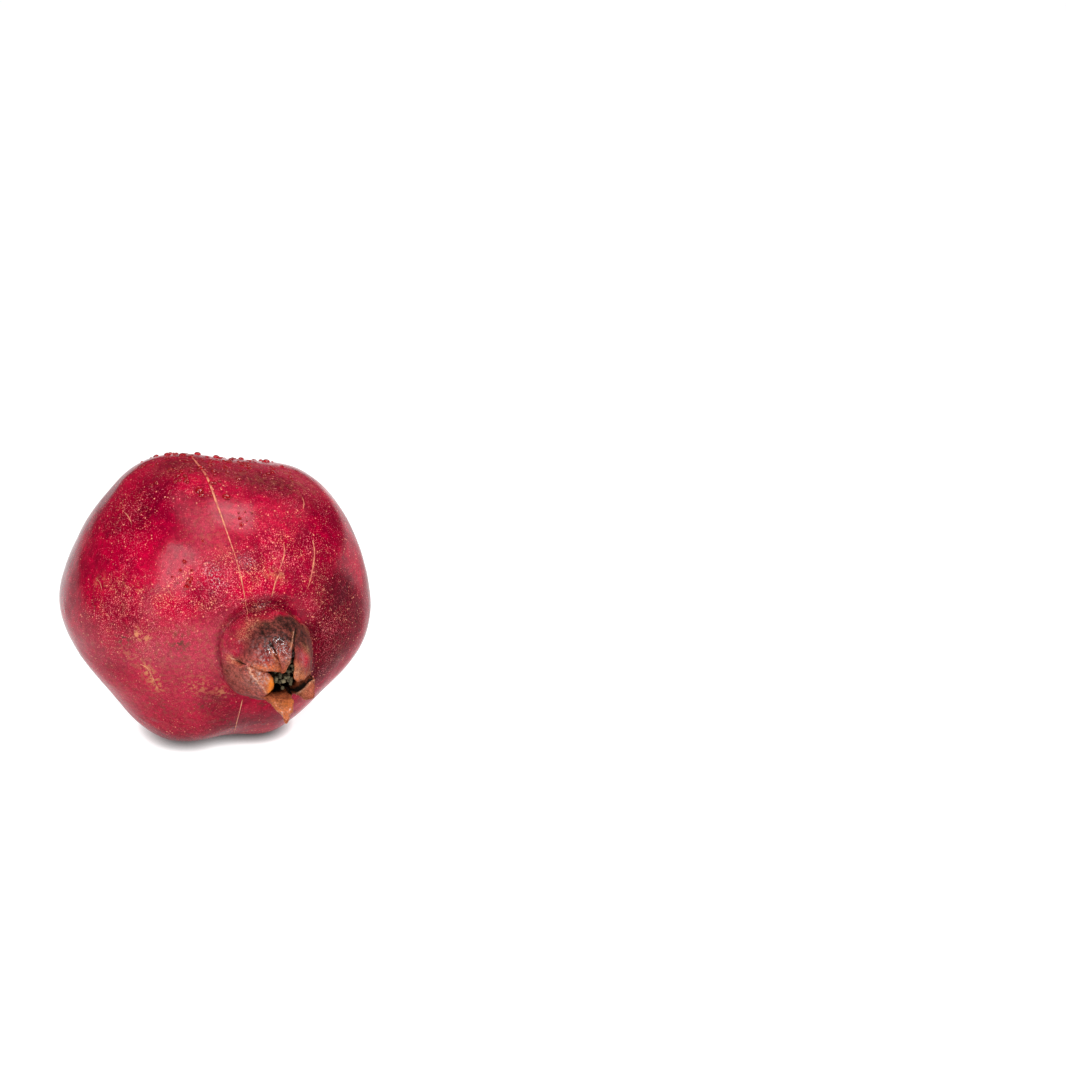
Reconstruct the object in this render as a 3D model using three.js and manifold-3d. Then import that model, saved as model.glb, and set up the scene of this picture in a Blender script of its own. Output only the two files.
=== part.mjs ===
// A whole pomegranate lying on its side on a small flat spot, its calyx crown towards -Y.
// Millimetres, +Z up. The origin is the centre of the flat spot that the fruit rests on.
//
// Each shape is worked out in the fruit's own frame: the calyx axis is z, x points right and
// y points up as the fruit lies. One skin wraps the whole fruit, from the stem pole over the
// body, the calyx tube and the six sepals, and down inside the cup. It is a grid: u goes once
// round the calyx axis, with equal steps in each sepal's sector, and v goes along the skin.
import * as THREE from 'three';
import { ParametricGeometry } from 'three/addons/geometries/ParametricGeometry.js';
import { mergeVertices } from 'three/addons/utils/BufferGeometryUtils.js';
import Module from 'manifold-3d';

// Driving dimensions
const equatorRadius = 46;     // body, across the calyx axis
const calyxEnd = 41.5;        // body half length towards the calyx
const stemEnd = 42.5;         // body half length towards the stem
const bodyPower = 2.1;        // 2 is an ellipsoid, more is boxier
const bodyHeight = 43.6;      // flat spot to the body's centre
const axisDip = 4;            // degrees that the calyx points below level
const neckRadius = 15;        // foot of the calyx tube
const neckZ = 41.3;
const neckSwell = 2.2;        // body's raised collar round the tube's foot
const neckSwellWidth = 11;
const creaseDepth = 0.5;
const tubeBulge = 0.3;        // the tube is this much wider above its foot
const tubeHandle = 4;         // how far its profile holds its direction at both ends
const rimRadius = 11.5;       // where the tube parts into sepals
const rimZ = 52.1;
const rimLean = 22.3;         // degrees that the tube leans in at the rim
const rimWall = 2;            // wall thickness at the rim
const tipWall = 1.45;         // least sepal thickness
const wallTaper = 0.05;       // thickness lost per mm of sepal
const sepalGap = 0.3;         // half the slit between two sepals
const slitOpening = 2.5;      // length over which a slit opens
const slitZoneEnd = 3;        // every slit starts below this height over the rim
const sepalFlatten = 0.33;    // how soon a sepal's cross-section flattens out
const swingPower = 2.8;       // a sepal swings sideways mostly near its tip
const sharedBendReach = 1.5;  // two sepals share their bend this far past the start of their slit
const outlineFullness = 0.8;  // less is rounder shoulders on a sepal
const cupFloorZ = 43.2;
const cupFloorRadius = 8.5;
const cupFloorRise = 0.6;     // the floor's edge over its middle
const stemDimple = 2.5;
const stemDimpleRadius = 6;
const dimpleRise = 0.55;      // of the dimple's skin, from its middle to under the stub's edge
const clearance = 0.3;        // between two pieces

// Rounded ribs and hollows that run from pole to pole: direction, height at the equator, width
const ribs = [
  { at: 347.5, height: 2.9, width: 20 },
  { at: 42.2, height: 1.1, width: 20.8 },
  { at: 116, height: 2.3, width: 16 },
  { at: 178, height: 3.1, width: 18.5 },
  { at: 240, height: 2, width: 12.5 },
  { at: 296, height: -0.1, width: 12 },
  { at: 77.8, height: -4, width: 18 },
  { at: 213, height: -1.2, width: 14.5 },
  { at: 268.3, height: -1.5, width: 12.2 },
  { at: 312, height: -0.6, width: 12.2 },
  { at: 146.7, height: 0.8, width: 14.7 },
];

// Soft local dents and swellings: direction, angle from the calyx pole, height, width and length
const dents = [
  { at: 260.2, polar: 63, height: -1, width: 10, length: 26 },
  { at: 284, polar: 63, height: 1.1, width: 10, length: 26 },
  { at: 313.2, polar: 60, height: -0.65, width: 12, length: 26 },
  { at: 61.3, polar: 110, height: -0.9, width: 9, length: 26 },
];

// Slits between sepals: direction, and where each starts above the rim
const slits = [
  { at: 341.8, start: 2 },
  { at: 425.4, start: 1.2 },
  { at: 468.9, start: 7 },
  { at: 526.6, start: 2.1 },
  { at: 601.9, start: 0.6 },
  { at: 655.6, start: 0.8 },
];

// Sepals, each from its own slit to the next: length, lean at the tip, how square the tip is,
// and how far the tip swings sideways
const sepals = [
  { length: 13.6, tipLean: 61, square: 20, swing: -2 },
  { length: 14, tipLean: 43.5, square: 11, swing: 1.8 },
  { length: 12.1, tipLean: 73, square: 5.1, swing: -0.3 },
  { length: 9.9, tipLean: 81, square: 18.3, swing: 0 },
  { length: 11.9, tipLean: -44, square: 1, swing: -0.65 },
  { length: 8.4, tipLean: -24, square: 2, swing: -0.4 },
];

// Grid
const columnsPerSepal = 12;
const outlineSamples = 40;
const filamentSides = 6;
const stubSides = 24;

// Dried stamens in the cup
const tuftDiscRadius = 7;
const tuftDiscHeight = 1.2;
const stamenCount = 15;
const stamenSpread = 5.6;
const filamentRadius = 0.35;
const antherRadius = 0.85;
const styleRadius = 0.7;
const styleTopZ = 53;
const stamenTopZ = 56.0;
const tuftDoming = 0.22;      // height lost per mm away from the middle
const stamenStagger = 1.1;    // height that one stamen differs from the next
const stamenLeans = [3, 5, 7.5, 10];

// Woody stub of the cut stalk
const stubLength = 4.3;
const stubNeckRadius = 2.6;
const stubEndRadius = 3.1;

const radians = THREE.MathUtils.degToRad;
const lerp = THREE.MathUtils.lerp;

// Degrees from one direction round the axis to another, the short way
function turnBetween(direction, at) {
  const turn = direction - radians(at);
  return THREE.MathUtils.radToDeg(Math.atan2(Math.sin(turn), Math.cos(turn)));
}

// Half ellipse across the poles whose radius swells and sinks with the ribs
function bodyRadius(polar, direction) {
  const halfLength = Math.cos(polar) > 0 ? calyxEnd : stemEnd;
  const along = (Math.abs(Math.cos(polar)) / halfLength) ** bodyPower;
  const across = (Math.sin(polar) / equatorRadius) ** bodyPower;
  let radius = (along + across) ** (-1 / bodyPower);
  for (const rib of ribs) {
    const turn = turnBetween(direction, rib.at);
    radius += rib.height * Math.exp(-((turn / rib.width) ** 2)) * Math.sin(polar) ** 2;
  }
  for (const dent of dents) {
    const turn = turnBetween(direction, dent.at);
    const along = (polar - radians(dent.polar)) / radians(dent.length);
    radius += dent.height * Math.exp(-((turn / dent.width) ** 2) - along ** 2) * Math.sin(polar) ** 2;
  }
  return radius;
}

function polarPoint(direction, rho, z, target) {
  return target.set(rho * Math.cos(direction), rho * Math.sin(direction), z);
}

// u to a sepal's sector, the place across it (0 to 1) and the direction round the axis
function sectorAt(u) {
  const turns = Math.min(Math.max(u, 0), 1) * sepals.length;
  const index = Math.min(Math.floor(turns), sepals.length - 1);
  const across = turns - index;
  const from = slits[index].at;
  const to = index + 1 < slits.length ? slits[index + 1].at : slits[0].at + 360;
  return {
    index,
    across,
    middle: radians((from + to) / 2),
    half: radians((to - from) / 2),
    direction: radians(lerp(from, to, across)),
  };
}

// Body, from the stem pole to the collar round the calyx tube
const collarPolar = radians(23);
function bodyPoint(sector, t, target) {
  const polar = lerp(Math.PI, collarPolar, t);
  const radius = bodyRadius(polar, sector.direction);
  const rho = radius * Math.sin(polar);
  let z = radius * Math.cos(polar);
  if (z > 0) z += neckSwell * Math.exp(-(((rho - neckRadius) / neckSwellWidth) ** 2));
  else z += stemDimple * Math.exp(-((rho / stemDimpleRadius) ** 2));
  return polarPoint(sector.direction, rho, z, target);
}

const corner = new THREE.Vector3();
function creasePoint(sector, t, target) {
  bodyPoint(sector, 1, target);
  polarPoint(sector.direction, neckRadius, neckZ, corner);
  target.lerp(corner, t);
  target.z -= creaseDepth * Math.sin(Math.PI * t);
  return target;
}

// Calyx tube, a rounded dome from its foot to the rim
const tubeProfile = new THREE.CubicBezierCurve(
  new THREE.Vector2(neckRadius, neckZ),
  new THREE.Vector2(neckRadius + tubeBulge, neckZ + tubeHandle),
  new THREE.Vector2(
    rimRadius + tubeHandle * Math.sin(radians(rimLean)),
    rimZ - tubeHandle * Math.cos(radians(rimLean)),
  ),
  new THREE.Vector2(rimRadius, rimZ),
);
const profilePoint = new THREE.Vector2();
function tubePoint(sector, t, target) {
  tubeProfile.getPoint(t, profilePoint);
  return polarPoint(sector.direction, profilePoint.x, profilePoint.y, target);
}

const sepalBend = (sepal) => radians(sepal.tipLean - rimLean) / sepal.length;
const wrap = (list, index) => list[(index + list.length) % list.length];

// A sepal's middle line is an arc: its lean grows evenly with the height over the rim
function sepalArc(height, bend) {
  const lean = radians(rimLean) + bend * height;
  return {
    lean,
    rho: rimRadius + (Math.cos(lean) - Math.cos(radians(rimLean))) / bend,
    z: rimZ + (Math.sin(lean) - Math.sin(radians(rimLean))) / bend,
  };
}

// Half the outline of a sepal, from the slit at one side to the tip: width against height
function sepalSide(index, side) {
  const sepal = sepals[index];
  const slit = wrap(slits, index + side);
  const { half } = sectorAt((index + 0.5) / sepals.length);
  const points = [];
  for (let i = 0; i <= outlineSamples; i++) {
    const t = i / outlineSamples;
    const height = lerp(slit.start, sepal.length, t);
    const { rho } = sepalArc(height, sepalBend(sepal));
    const gap = sepalGap * Math.min(1, (height - slit.start) / slitOpening);
    const width = Math.min(rho, rimRadius) * half - gap;
    points.push(new THREE.Vector2(width * (1 - t ** sepal.square) ** outlineFullness, height));
  }
  return new THREE.SplineCurve(points);
}
const sepalSides = sepals.map((_, index) => [sepalSide(index, 0), sepalSide(index, 1)]);

// Point of a sepal: rise is 0 on the rim and 1 on the outline, depth 0 outside and 1 inside.
// Near a slit the bend is shared with the neighbour, so that the two sepals meet there.
function sepalPoint(sector, rise, depth, target) {
  const { index, across, middle, half } = sector;
  const sepal = sepals[index];
  const side = across < 0.5 ? 0 : 1;
  const sign = 2 * side - 1;
  const edge = Math.abs(2 * across - 1);
  const slit = wrap(slits, index + side);
  const outline = sepalSides[index][side].getPointAt(1 - edge);
  const height = rise * outline.y;

  const shared = (sepalBend(sepal) + sepalBend(wrap(sepals, index + sign))) / 2;
  const fade = edge ** 4 * Math.exp(-((Math.max(height - slit.start, 0) / sharedBendReach) ** 2));
  const { lean, rho, z } = sepalArc(height, lerp(sepalBend(sepal), shared, fade));

  const start = lerp(slitZoneEnd, Math.max(slit.start, slitZoneEnd), edge ** 2);
  const free = Math.max(height - start, 0);
  const spread = lerp(edge * half * rho, outline.x, rise);
  const width = sign * lerp(spread, half * rho, edge ** 16)
    + sepal.swing * (free / (sepal.length - slitZoneEnd)) ** swingPower;
  const round = rho + sepalFlatten * free ** 2;
  const turn = width / round;

  const wall = depth * Math.max(tipWall, rimWall - wallTaper * height);
  const outwards = rho - round * (1 - Math.cos(turn)) - wall * Math.cos(lean) * Math.cos(turn);
  const sideways = round * Math.sin(turn) - wall * Math.cos(lean) * Math.sin(turn);
  return target.set(
    outwards * Math.cos(middle) - sideways * Math.sin(middle),
    outwards * Math.sin(middle) + sideways * Math.cos(middle),
    z - wall * Math.sin(lean),
  );
}

// Inside of the cup, from under the rim down to the floor's edge, then the shallow floor
const cupProfile = new THREE.CubicBezierCurve(
  new THREE.Vector2(
    rimRadius - rimWall * Math.cos(radians(rimLean)),
    rimZ - rimWall * Math.sin(radians(rimLean)),
  ),
  new THREE.Vector2(11.3, 47.5),
  new THREE.Vector2(10.8, 44.6),
  new THREE.Vector2(cupFloorRadius, cupFloorZ + cupFloorRise),
);
function cupWallPoint(sector, t, target) {
  cupProfile.getPoint(t, profilePoint);
  return polarPoint(sector.direction, profilePoint.x, profilePoint.y, target);
}
function cupFloorPoint(sector, t, target) {
  const z = cupFloorZ + cupFloorRise * (1 - t) ** 2;
  return polarPoint(sector.direction, cupFloorRadius * (1 - t), z, target);
}

// The skin's stretches in order, with their rows of the grid
const stretches = [
  { rows: 24, point: bodyPoint },
  { rows: 2, point: creasePoint },
  { rows: 6, point: tubePoint },
  { rows: 9, point: (sector, t, target) => sepalPoint(sector, t, 0, target) },
  { rows: 1, point: (sector, t, target) => sepalPoint(sector, 1, t, target) },
  { rows: 8, point: (sector, t, target) => sepalPoint(sector, 1 - t, 1, target) },
  { rows: 3, point: cupWallPoint },
  { rows: 3, point: cupFloorPoint },
];
const skinRows = stretches.reduce((total, stretch) => total + stretch.rows, 0);

function skinPoint(u, v, target) {
  let row = Math.min(Math.max(v, 0), 1) * skinRows;
  let index = 0;
  while (index < stretches.length - 1 && row > stretches[index].rows) {
    row -= stretches[index].rows;
    index += 1;
  }
  return stretches[index].point(sectorAt(u % 1), row / stretches[index].rows, target);
}

const wasm = await Module();
wasm.setup();

// Closed geometry to a solid, without the flat triangles that a pole or a seam leaves
function toSolid(geometry) {
  const bare = geometry.clone();
  bare.deleteAttribute('normal');
  bare.deleteAttribute('uv');
  const merged = mergeVertices(bare, 1e-4);
  const index = merged.index.array;
  const triangles = [];
  for (let i = 0; i < index.length; i += 3) {
    const [a, b, c] = [index[i], index[i + 1], index[i + 2]];
    if (a !== b && b !== c && c !== a) triangles.push(a, b, c);
  }
  return new wasm.Manifold(new wasm.Mesh({
    numProp: 3,
    vertProperties: Float32Array.from(merged.attributes.position.array),
    triVerts: Uint32Array.from(triangles),
  }));
}

function toGeometry(solid) {
  const { vertProperties, triVerts } = solid.getMesh();
  const geometry = new THREE.BufferGeometry();
  geometry.setAttribute('position', new THREE.BufferAttribute(vertProperties, 3));
  geometry.setIndex(new THREE.BufferAttribute(triVerts, 1));
  geometry.computeVertexNormals();
  return geometry;
}

// Place of the fruit's own frame: the calyx axis to -Y, dipped, and the body's centre raised
const lying = new THREE.Matrix4()
  .makeRotationX(Math.PI / 2 + radians(axisDip))
  .setPosition(0, 0, bodyHeight);

// Fruit: the whole skin, cut level at the floor, where it has its flat spot
function makeFruit() {
  const columns = columnsPerSepal * sepals.length;
  const skin = new ParametricGeometry(skinPoint, columns, skinRows);
  const floor = new THREE.BoxGeometry(200, 200, 20).translate(0, 0, -10);
  floor.applyMatrix4(lying.clone().invert());
  return toGeometry(toSolid(skin).subtract(toSolid(floor)));
}

// Stamens: a cushion on the cup floor that carries thin filaments with dried anthers, leaning in,
// and a stouter style in the middle. Turns of the golden angle spread them evenly.
function makeStamens() {
  const discZ = cupFloorZ + cupFloorRise + clearance;
  const disc = new THREE.LatheGeometry([
    new THREE.Vector2(0, 0),
    new THREE.Vector2(tuftDiscRadius - 0.5, 0),
    new THREE.Vector2(tuftDiscRadius, 0.3),
    new THREE.Vector2(tuftDiscRadius - 1, tuftDiscHeight),
    new THREE.Vector2(0, tuftDiscHeight + 0.4),
  ], stubSides).rotateX(Math.PI / 2).translate(0, 0, discZ);
  let tuft = toSolid(disc);
  const foot = discZ + 0.4;
  const goldenAngle = radians(137.508);
  for (let i = 0; i < stamenCount; i++) {
    const direction = goldenAngle * i;
    const rho = stamenSpread * Math.sqrt((i + 1) / stamenCount);
    const height = stamenTopZ - foot - tuftDoming * rho - stamenStagger * (i % 3);
    const filament = new THREE.CylinderGeometry(filamentRadius, filamentRadius * 1.3, height, filamentSides)
      .translate(0, height / 2, 0);
    const anther = new THREE.SphereGeometry(antherRadius, 8, 6).scale(1, 1.3, 0.8).translate(0, height, 0);
    const lean = new THREE.Matrix4().makeRotationX(radians(wrap(stamenLeans, i)));
    const place = new THREE.Matrix4().makeRotationZ(direction - Math.PI / 2)
      .multiply(new THREE.Matrix4().makeTranslation(0, rho, foot))
      .multiply(lean)
      .multiply(new THREE.Matrix4().makeRotationX(Math.PI / 2));
    tuft = tuft.add(toSolid(filament.applyMatrix4(place))).add(toSolid(anther.applyMatrix4(place)));
  }
  const styleHeight = styleTopZ - foot;
  const style = new THREE.CylinderGeometry(styleRadius * 0.7, styleRadius, styleHeight, 10)
    .rotateX(Math.PI / 2).translate(0, 0, foot + styleHeight / 2);
  return toGeometry(tuft.add(toSolid(style)));
}

// Stub of the stalk, flaring towards its cut end, in the dimple at the stem end
function makeStemStub() {
  const foot = stemEnd - stemDimple + dimpleRise + clearance;
  return new THREE.LatheGeometry([
    new THREE.Vector2(0, 0),
    new THREE.Vector2(stubNeckRadius - 0.2, 0),
    new THREE.Vector2(stubNeckRadius, 0.3),
    new THREE.Vector2(stubNeckRadius * 0.96, stubLength * 0.5),
    new THREE.Vector2(stubEndRadius, stubLength - 0.5),
    new THREE.Vector2(stubEndRadius - 0.4, stubLength),
    new THREE.Vector2(0, stubLength),
  ], stubSides).rotateX(-Math.PI / 2).translate(0, 0, -foot);
}

// Materials
const rindMaterial = new THREE.MeshStandardMaterial({ color: 0xa51a31, roughness: 0.38, metalness: 0 });
const stamenMaterial = new THREE.MeshStandardMaterial({ color: 0x6f6a50, roughness: 0.85, metalness: 0 });
const stemMaterial = new THREE.MeshStandardMaterial({ color: 0x6b4a2f, roughness: 0.8, metalness: 0 });

const group = new THREE.Group();
function place(name, geometry, material) {
  const mesh = new THREE.Mesh(geometry, material);
  mesh.name = name;
  lying.decompose(mesh.position, mesh.quaternion, mesh.scale);
  group.add(mesh);
}
place('fruit', makeFruit(), rindMaterial);
place('stamens', makeStamens(), stamenMaterial);
place('stem_stub', makeStemStub(), stemMaterial);

export default group;
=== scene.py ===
import bpy
import math
import numpy as np
from mathutils import Matrix, Vector


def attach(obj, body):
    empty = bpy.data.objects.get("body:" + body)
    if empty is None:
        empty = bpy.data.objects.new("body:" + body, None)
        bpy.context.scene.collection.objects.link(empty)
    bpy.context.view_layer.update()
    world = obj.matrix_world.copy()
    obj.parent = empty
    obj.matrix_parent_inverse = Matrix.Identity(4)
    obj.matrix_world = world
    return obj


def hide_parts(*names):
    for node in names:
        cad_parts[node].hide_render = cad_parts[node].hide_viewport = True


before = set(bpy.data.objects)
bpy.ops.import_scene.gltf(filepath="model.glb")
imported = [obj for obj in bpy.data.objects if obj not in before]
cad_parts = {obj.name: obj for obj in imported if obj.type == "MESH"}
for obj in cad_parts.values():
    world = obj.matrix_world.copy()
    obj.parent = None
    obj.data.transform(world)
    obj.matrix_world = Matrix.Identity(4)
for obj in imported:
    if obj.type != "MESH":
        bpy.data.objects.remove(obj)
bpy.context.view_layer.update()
print("frame loaded:", ", ".join(sorted(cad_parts)))

# All shapes are worked out in millimetres in the fruit's own frame, where the calyx axis is z,
# x points right and y points up as the fruit lies, and are then laid down as the frame has it.
# A direction is in degrees round the calyx axis, from x towards y.
fruitFrame = {
    "bodyHeight": 43.6,         # flat spot to the body's centre
    "axisDip": 4.0,             # degrees that the calyx points below level
    "contactHeight": 4.0,       # skin under this height may be pressed on the floor
    "contactRounding": 0.5,     # at the flat spot's edge
}

camera = {
    "lens": 105.0,
    "sensor": 36.0,
    "imageSide": 1066.0,
    "azimuth": -24.8,
    "elevation": 21.0,
    "pixelsPerMillimetre": 3.20,      # at the body's centre
    "centrePixel": (217.6, 594.0),    # where the body's centre shows
    "clip": (0.05, 50.0),
}
focalPixels = camera["lens"] / camera["sensor"] * camera["imageSide"]
halfPicture = camera["imageSide"] / 2.0


# Helpers for whole arrays

def smoothStep(low, high, value):
    # 0 below low and 1 above high, with an S-shaped rise between
    t = np.clip((value - low) / (high - low), 0.0, 1.0)
    return t * t * (3.0 - 2.0 * t)


def blend(a, b, t):
    # a where t is 0, b where t is 1, in even steps between
    return a + (b - a) * t


def bell(distance, width):
    # 1 at no distance, falling off to nothing over about two widths
    return np.exp(-(distance / width) ** 2)


def lumps(points, size, seed):
    # Random values on the corners of cubes of the given size, blended smoothly in between
    repeat = 32     # cubes before the pattern starts again
    corners = np.random.default_rng(seed).uniform(-1.0, 1.0, (repeat, repeat, repeat))
    cell = np.asarray(points) / size
    low = np.floor(cell).astype(int)
    t = cell - low
    t = t * t * (3.0 - 2.0 * t)
    total = 0.0
    for steps in np.ndindex(2, 2, 2):
        weight = 1.0
        for axis, step in enumerate(steps):
            weight = weight * (t[..., axis] if step else 1.0 - t[..., axis])
        corner = tuple((low[..., axis] + step) % repeat for axis, step in enumerate(steps))
        total = total + weight * corners[corner]
    return total


def unit(vectors):
    # Every vector divided by its length
    return vectors / np.maximum(np.linalg.norm(vectors, axis=-1, keepdims=True), 1e-9)


def turnFrom(degrees, direction):
    # Signed angle from one direction to another, at most half a turn either way
    return (direction - np.radians(degrees) + math.pi) % (2.0 * math.pi) - math.pi


def fullTurn(count):
    # Angles spread evenly round a circle
    return np.linspace(0.0, 2.0 * math.pi, count, endpoint=False)


def smoothLine(knots, steps):
    # Points spread evenly by knot number along a Catmull-Rom curve
    knots = np.asarray(knots, float)
    padded = np.concatenate([2 * knots[:1] - knots[1:2], knots, 2 * knots[-1:] - knots[-2:-1]])
    at = np.linspace(0.0, len(knots) - 1.0, steps)
    low = np.minimum(at.astype(int), len(knots) - 2)
    t = (at - low)[:, None]
    a, b, c, d = (padded[low + k] for k in range(4))
    return 0.5 * (2 * b + (c - a) * t + (2 * a - 5 * b + 4 * c - d) * t ** 2
                  + (3 * b - a - 3 * c + d) * t ** 3)


def bezier(ends, t):
    # Cubic curve from the first to the last of four points, drawn towards the two between
    a, b, c, d = (np.array(end, float) for end in ends)
    t = np.asarray(t)[..., None]
    return (1 - t) ** 3 * a + 3 * (1 - t) ** 2 * t * b + 3 * (1 - t) * t ** 2 * c + t ** 3 * d


def layDown(points):
    # Fruit's own frame in mm to the object's frame in metres: the calyx axis goes to -Y and dips
    dip = math.radians(fruitFrame["axisDip"])
    x, y, z = points[..., 0], points[..., 1], points[..., 2]
    return np.stack([
        x,
        -y * math.sin(dip) - z * math.cos(dip),
        y * math.cos(dip) - z * math.sin(dip) + fruitFrame["bodyHeight"],
    ], -1) / 1000.0


def ringPoints(direction, rho, z):
    # Points at a distance rho from the calyx axis and a height z on it
    return np.stack(np.broadcast_arrays(rho * np.cos(direction), rho * np.sin(direction), z), -1)


# Helpers for meshes

def makePiece(name, points, faces, material, smooth=True):
    # A mesh of an array of points, and for each face the numbers of its points
    mesh = bpy.data.meshes.new(name)
    mesh.from_pydata(points.reshape(-1, 3).tolist(), [], [list(face) for face in faces])
    mesh.polygons.foreach_set("use_smooth", [smooth] * len(mesh.polygons))
    mesh.update()
    mesh.validate()
    piece = bpy.data.objects.new(name, mesh)
    bpy.context.scene.collection.objects.link(piece)
    piece.data.materials.append(material)
    return piece


def gridFaces(rows, columns):
    # Quads between the rows of a grid that closes round on itself
    row = np.arange(rows - 1)[:, None]
    column = np.arange(columns)[None, :]
    after = (column + 1) % columns
    return np.stack([
        row * columns + column, row * columns + after,
        (row + 1) * columns + after, (row + 1) * columns + column,
    ], -1).reshape(-1, 4)


def closedGrid(grid):
    # A grid whose first and last row are poles, as points and faces with one point at each pole
    rows, columns = grid.shape[:2]
    points = np.concatenate([grid[0, :1], grid[1:-1].reshape(-1, 3), grid[-1, :1]])
    ring = np.arange(columns)
    sides = list(zip(ring.tolist(), ((ring + 1) % columns).tolist()))
    last = 1 + (rows - 3) * columns
    faces = [(0, 1 + b, 1 + a) for a, b in sides]
    faces += (gridFaces(rows - 2, columns) + 1).tolist()
    faces += [(last + a, last + b, len(points) - 1) for a, b in sides]
    return points, faces


def joinGrids(grids):
    # Several closed grids as one list of points and faces
    points, faces, shift = [], [], 0
    for grid in grids:
        somePoints, someFaces = closedGrid(grid)
        points.append(somePoints)
        faces += [tuple(index + shift for index in face) for face in someFaces]
        shift += len(somePoints)
    return np.concatenate(points), faces


def addValue(piece, name, values):
    # A number at every vertex, which the material reads
    layer = piece.data.attributes.new(name, "FLOAT", "POINT")
    layer.data.foreach_set("value", np.ascontiguousarray(values, dtype=np.float32))


def poleRows(values):
    # A grid of numbers in the order of closedGrid's points
    return np.concatenate([values[0, :1], values[1:-1].reshape(-1), values[-1, :1]])


# Camera

def cameraAxes():
    # Unit vectors to the right, up and away from the camera
    azimuth, elevation = math.radians(camera["azimuth"]), math.radians(camera["elevation"])
    right = np.array([math.cos(azimuth), math.sin(azimuth), 0.0])
    forward = np.array([
        -math.sin(azimuth) * math.cos(elevation),
        math.cos(azimuth) * math.cos(elevation),
        -math.sin(elevation),
    ])
    return right, np.cross(right, forward), forward


def cameraPlace():
    # The body's centre, moved back along the view and sideways so that it shows at centrePixel
    right, up, forward = cameraAxes()
    distance = focalPixels / camera["pixelsPerMillimetre"]
    sideways = (camera["centrePixel"][0] - halfPicture) / focalPixels * distance
    upwards = (halfPicture - camera["centrePixel"][1]) / focalPixels * distance
    centre = np.array([0.0, 0.0, fruitFrame["bodyHeight"]])
    return (centre - sideways * right - upwards * up - distance * forward) / 1000.0


def makeCamera():
    # Looks along forward from cameraPlace
    data = bpy.data.cameras.new("view")
    data.lens = camera["lens"]
    data.sensor_width = camera["sensor"]
    data.clip_start, data.clip_end = camera["clip"]
    made = bpy.data.objects.new("view", data)
    bpy.context.scene.collection.objects.link(made)
    right, up, forward = cameraAxes()
    turn = Matrix((right.tolist(), up.tolist(), (-forward).tolist())).transposed()
    made.matrix_world = Matrix.Translation(Vector(cameraPlace().tolist())) @ turn.to_4x4()
    bpy.context.scene.camera = made


def toPixels(points):
    # Places in metres to picture pixels
    right, up, forward = cameraAxes()
    away = points - cameraPlace()
    depth = away @ forward
    return np.stack([
        halfPicture + focalPixels * (away @ right) / depth,
        halfPicture - focalPixels * (away @ up) / depth,
    ], -1)


makeCamera()
print("camera placed")

# Fruit: one skin over body, calyx tube, sepals and cup. Sizes are in mm, and lumps are given by
# their size and seed.
body = {
    "equatorRadius": 46.0,
    "calyxEnd": 41.5,           # centre to the pole under the crown
    "stemEnd": 42.5,            # centre to the other pole
    "power": 2.1,               # 2 is an ellipse, and more is boxier
    "neckSwell": 2.2,           # rise towards the crown, and how far it reaches
    "neckSwellWidth": 11.0,
    "collarPolar": 23.0,        # degrees from the pole to the body's edge round the crown
    "stemDimple": 2.5,
    "stemDimpleRadius": 6.0,
    "unevenness": 0.22,
    "broadLumps": (11.0, 3),
    "smallLumps": (4.5, 4),
    # ribs and hollows from pole to pole: direction, height at the equator, width in degrees.
    # A fitting program made all of these numbers, and the directions of the dents.
    "ribs": [
        (347.5, 2.9, 20), (42.2, 1.1, 20.8), (116, 2.3, 16), (178, 3.1, 18.5), (240, 2.0, 12.5),
        (296, -0.1, 12), (77.8, -4.0, 18), (213, -1.2, 14.5), (268.3, -1.5, 12.2), (312, -0.6, 12.2),
        (146.7, 0.8, 14.7),
    ],
    # local lumps and hollows: direction, angle from the calyx pole, height, widths both ways
    "dents": [
        (260.2, 63, -1.0, 10, 26), (284, 63, 1.1, 10, 26), (313.2, 60, -0.65, 12, 26),
        (61.3, 110, -0.9, 9, 26),
    ],
}

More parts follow.
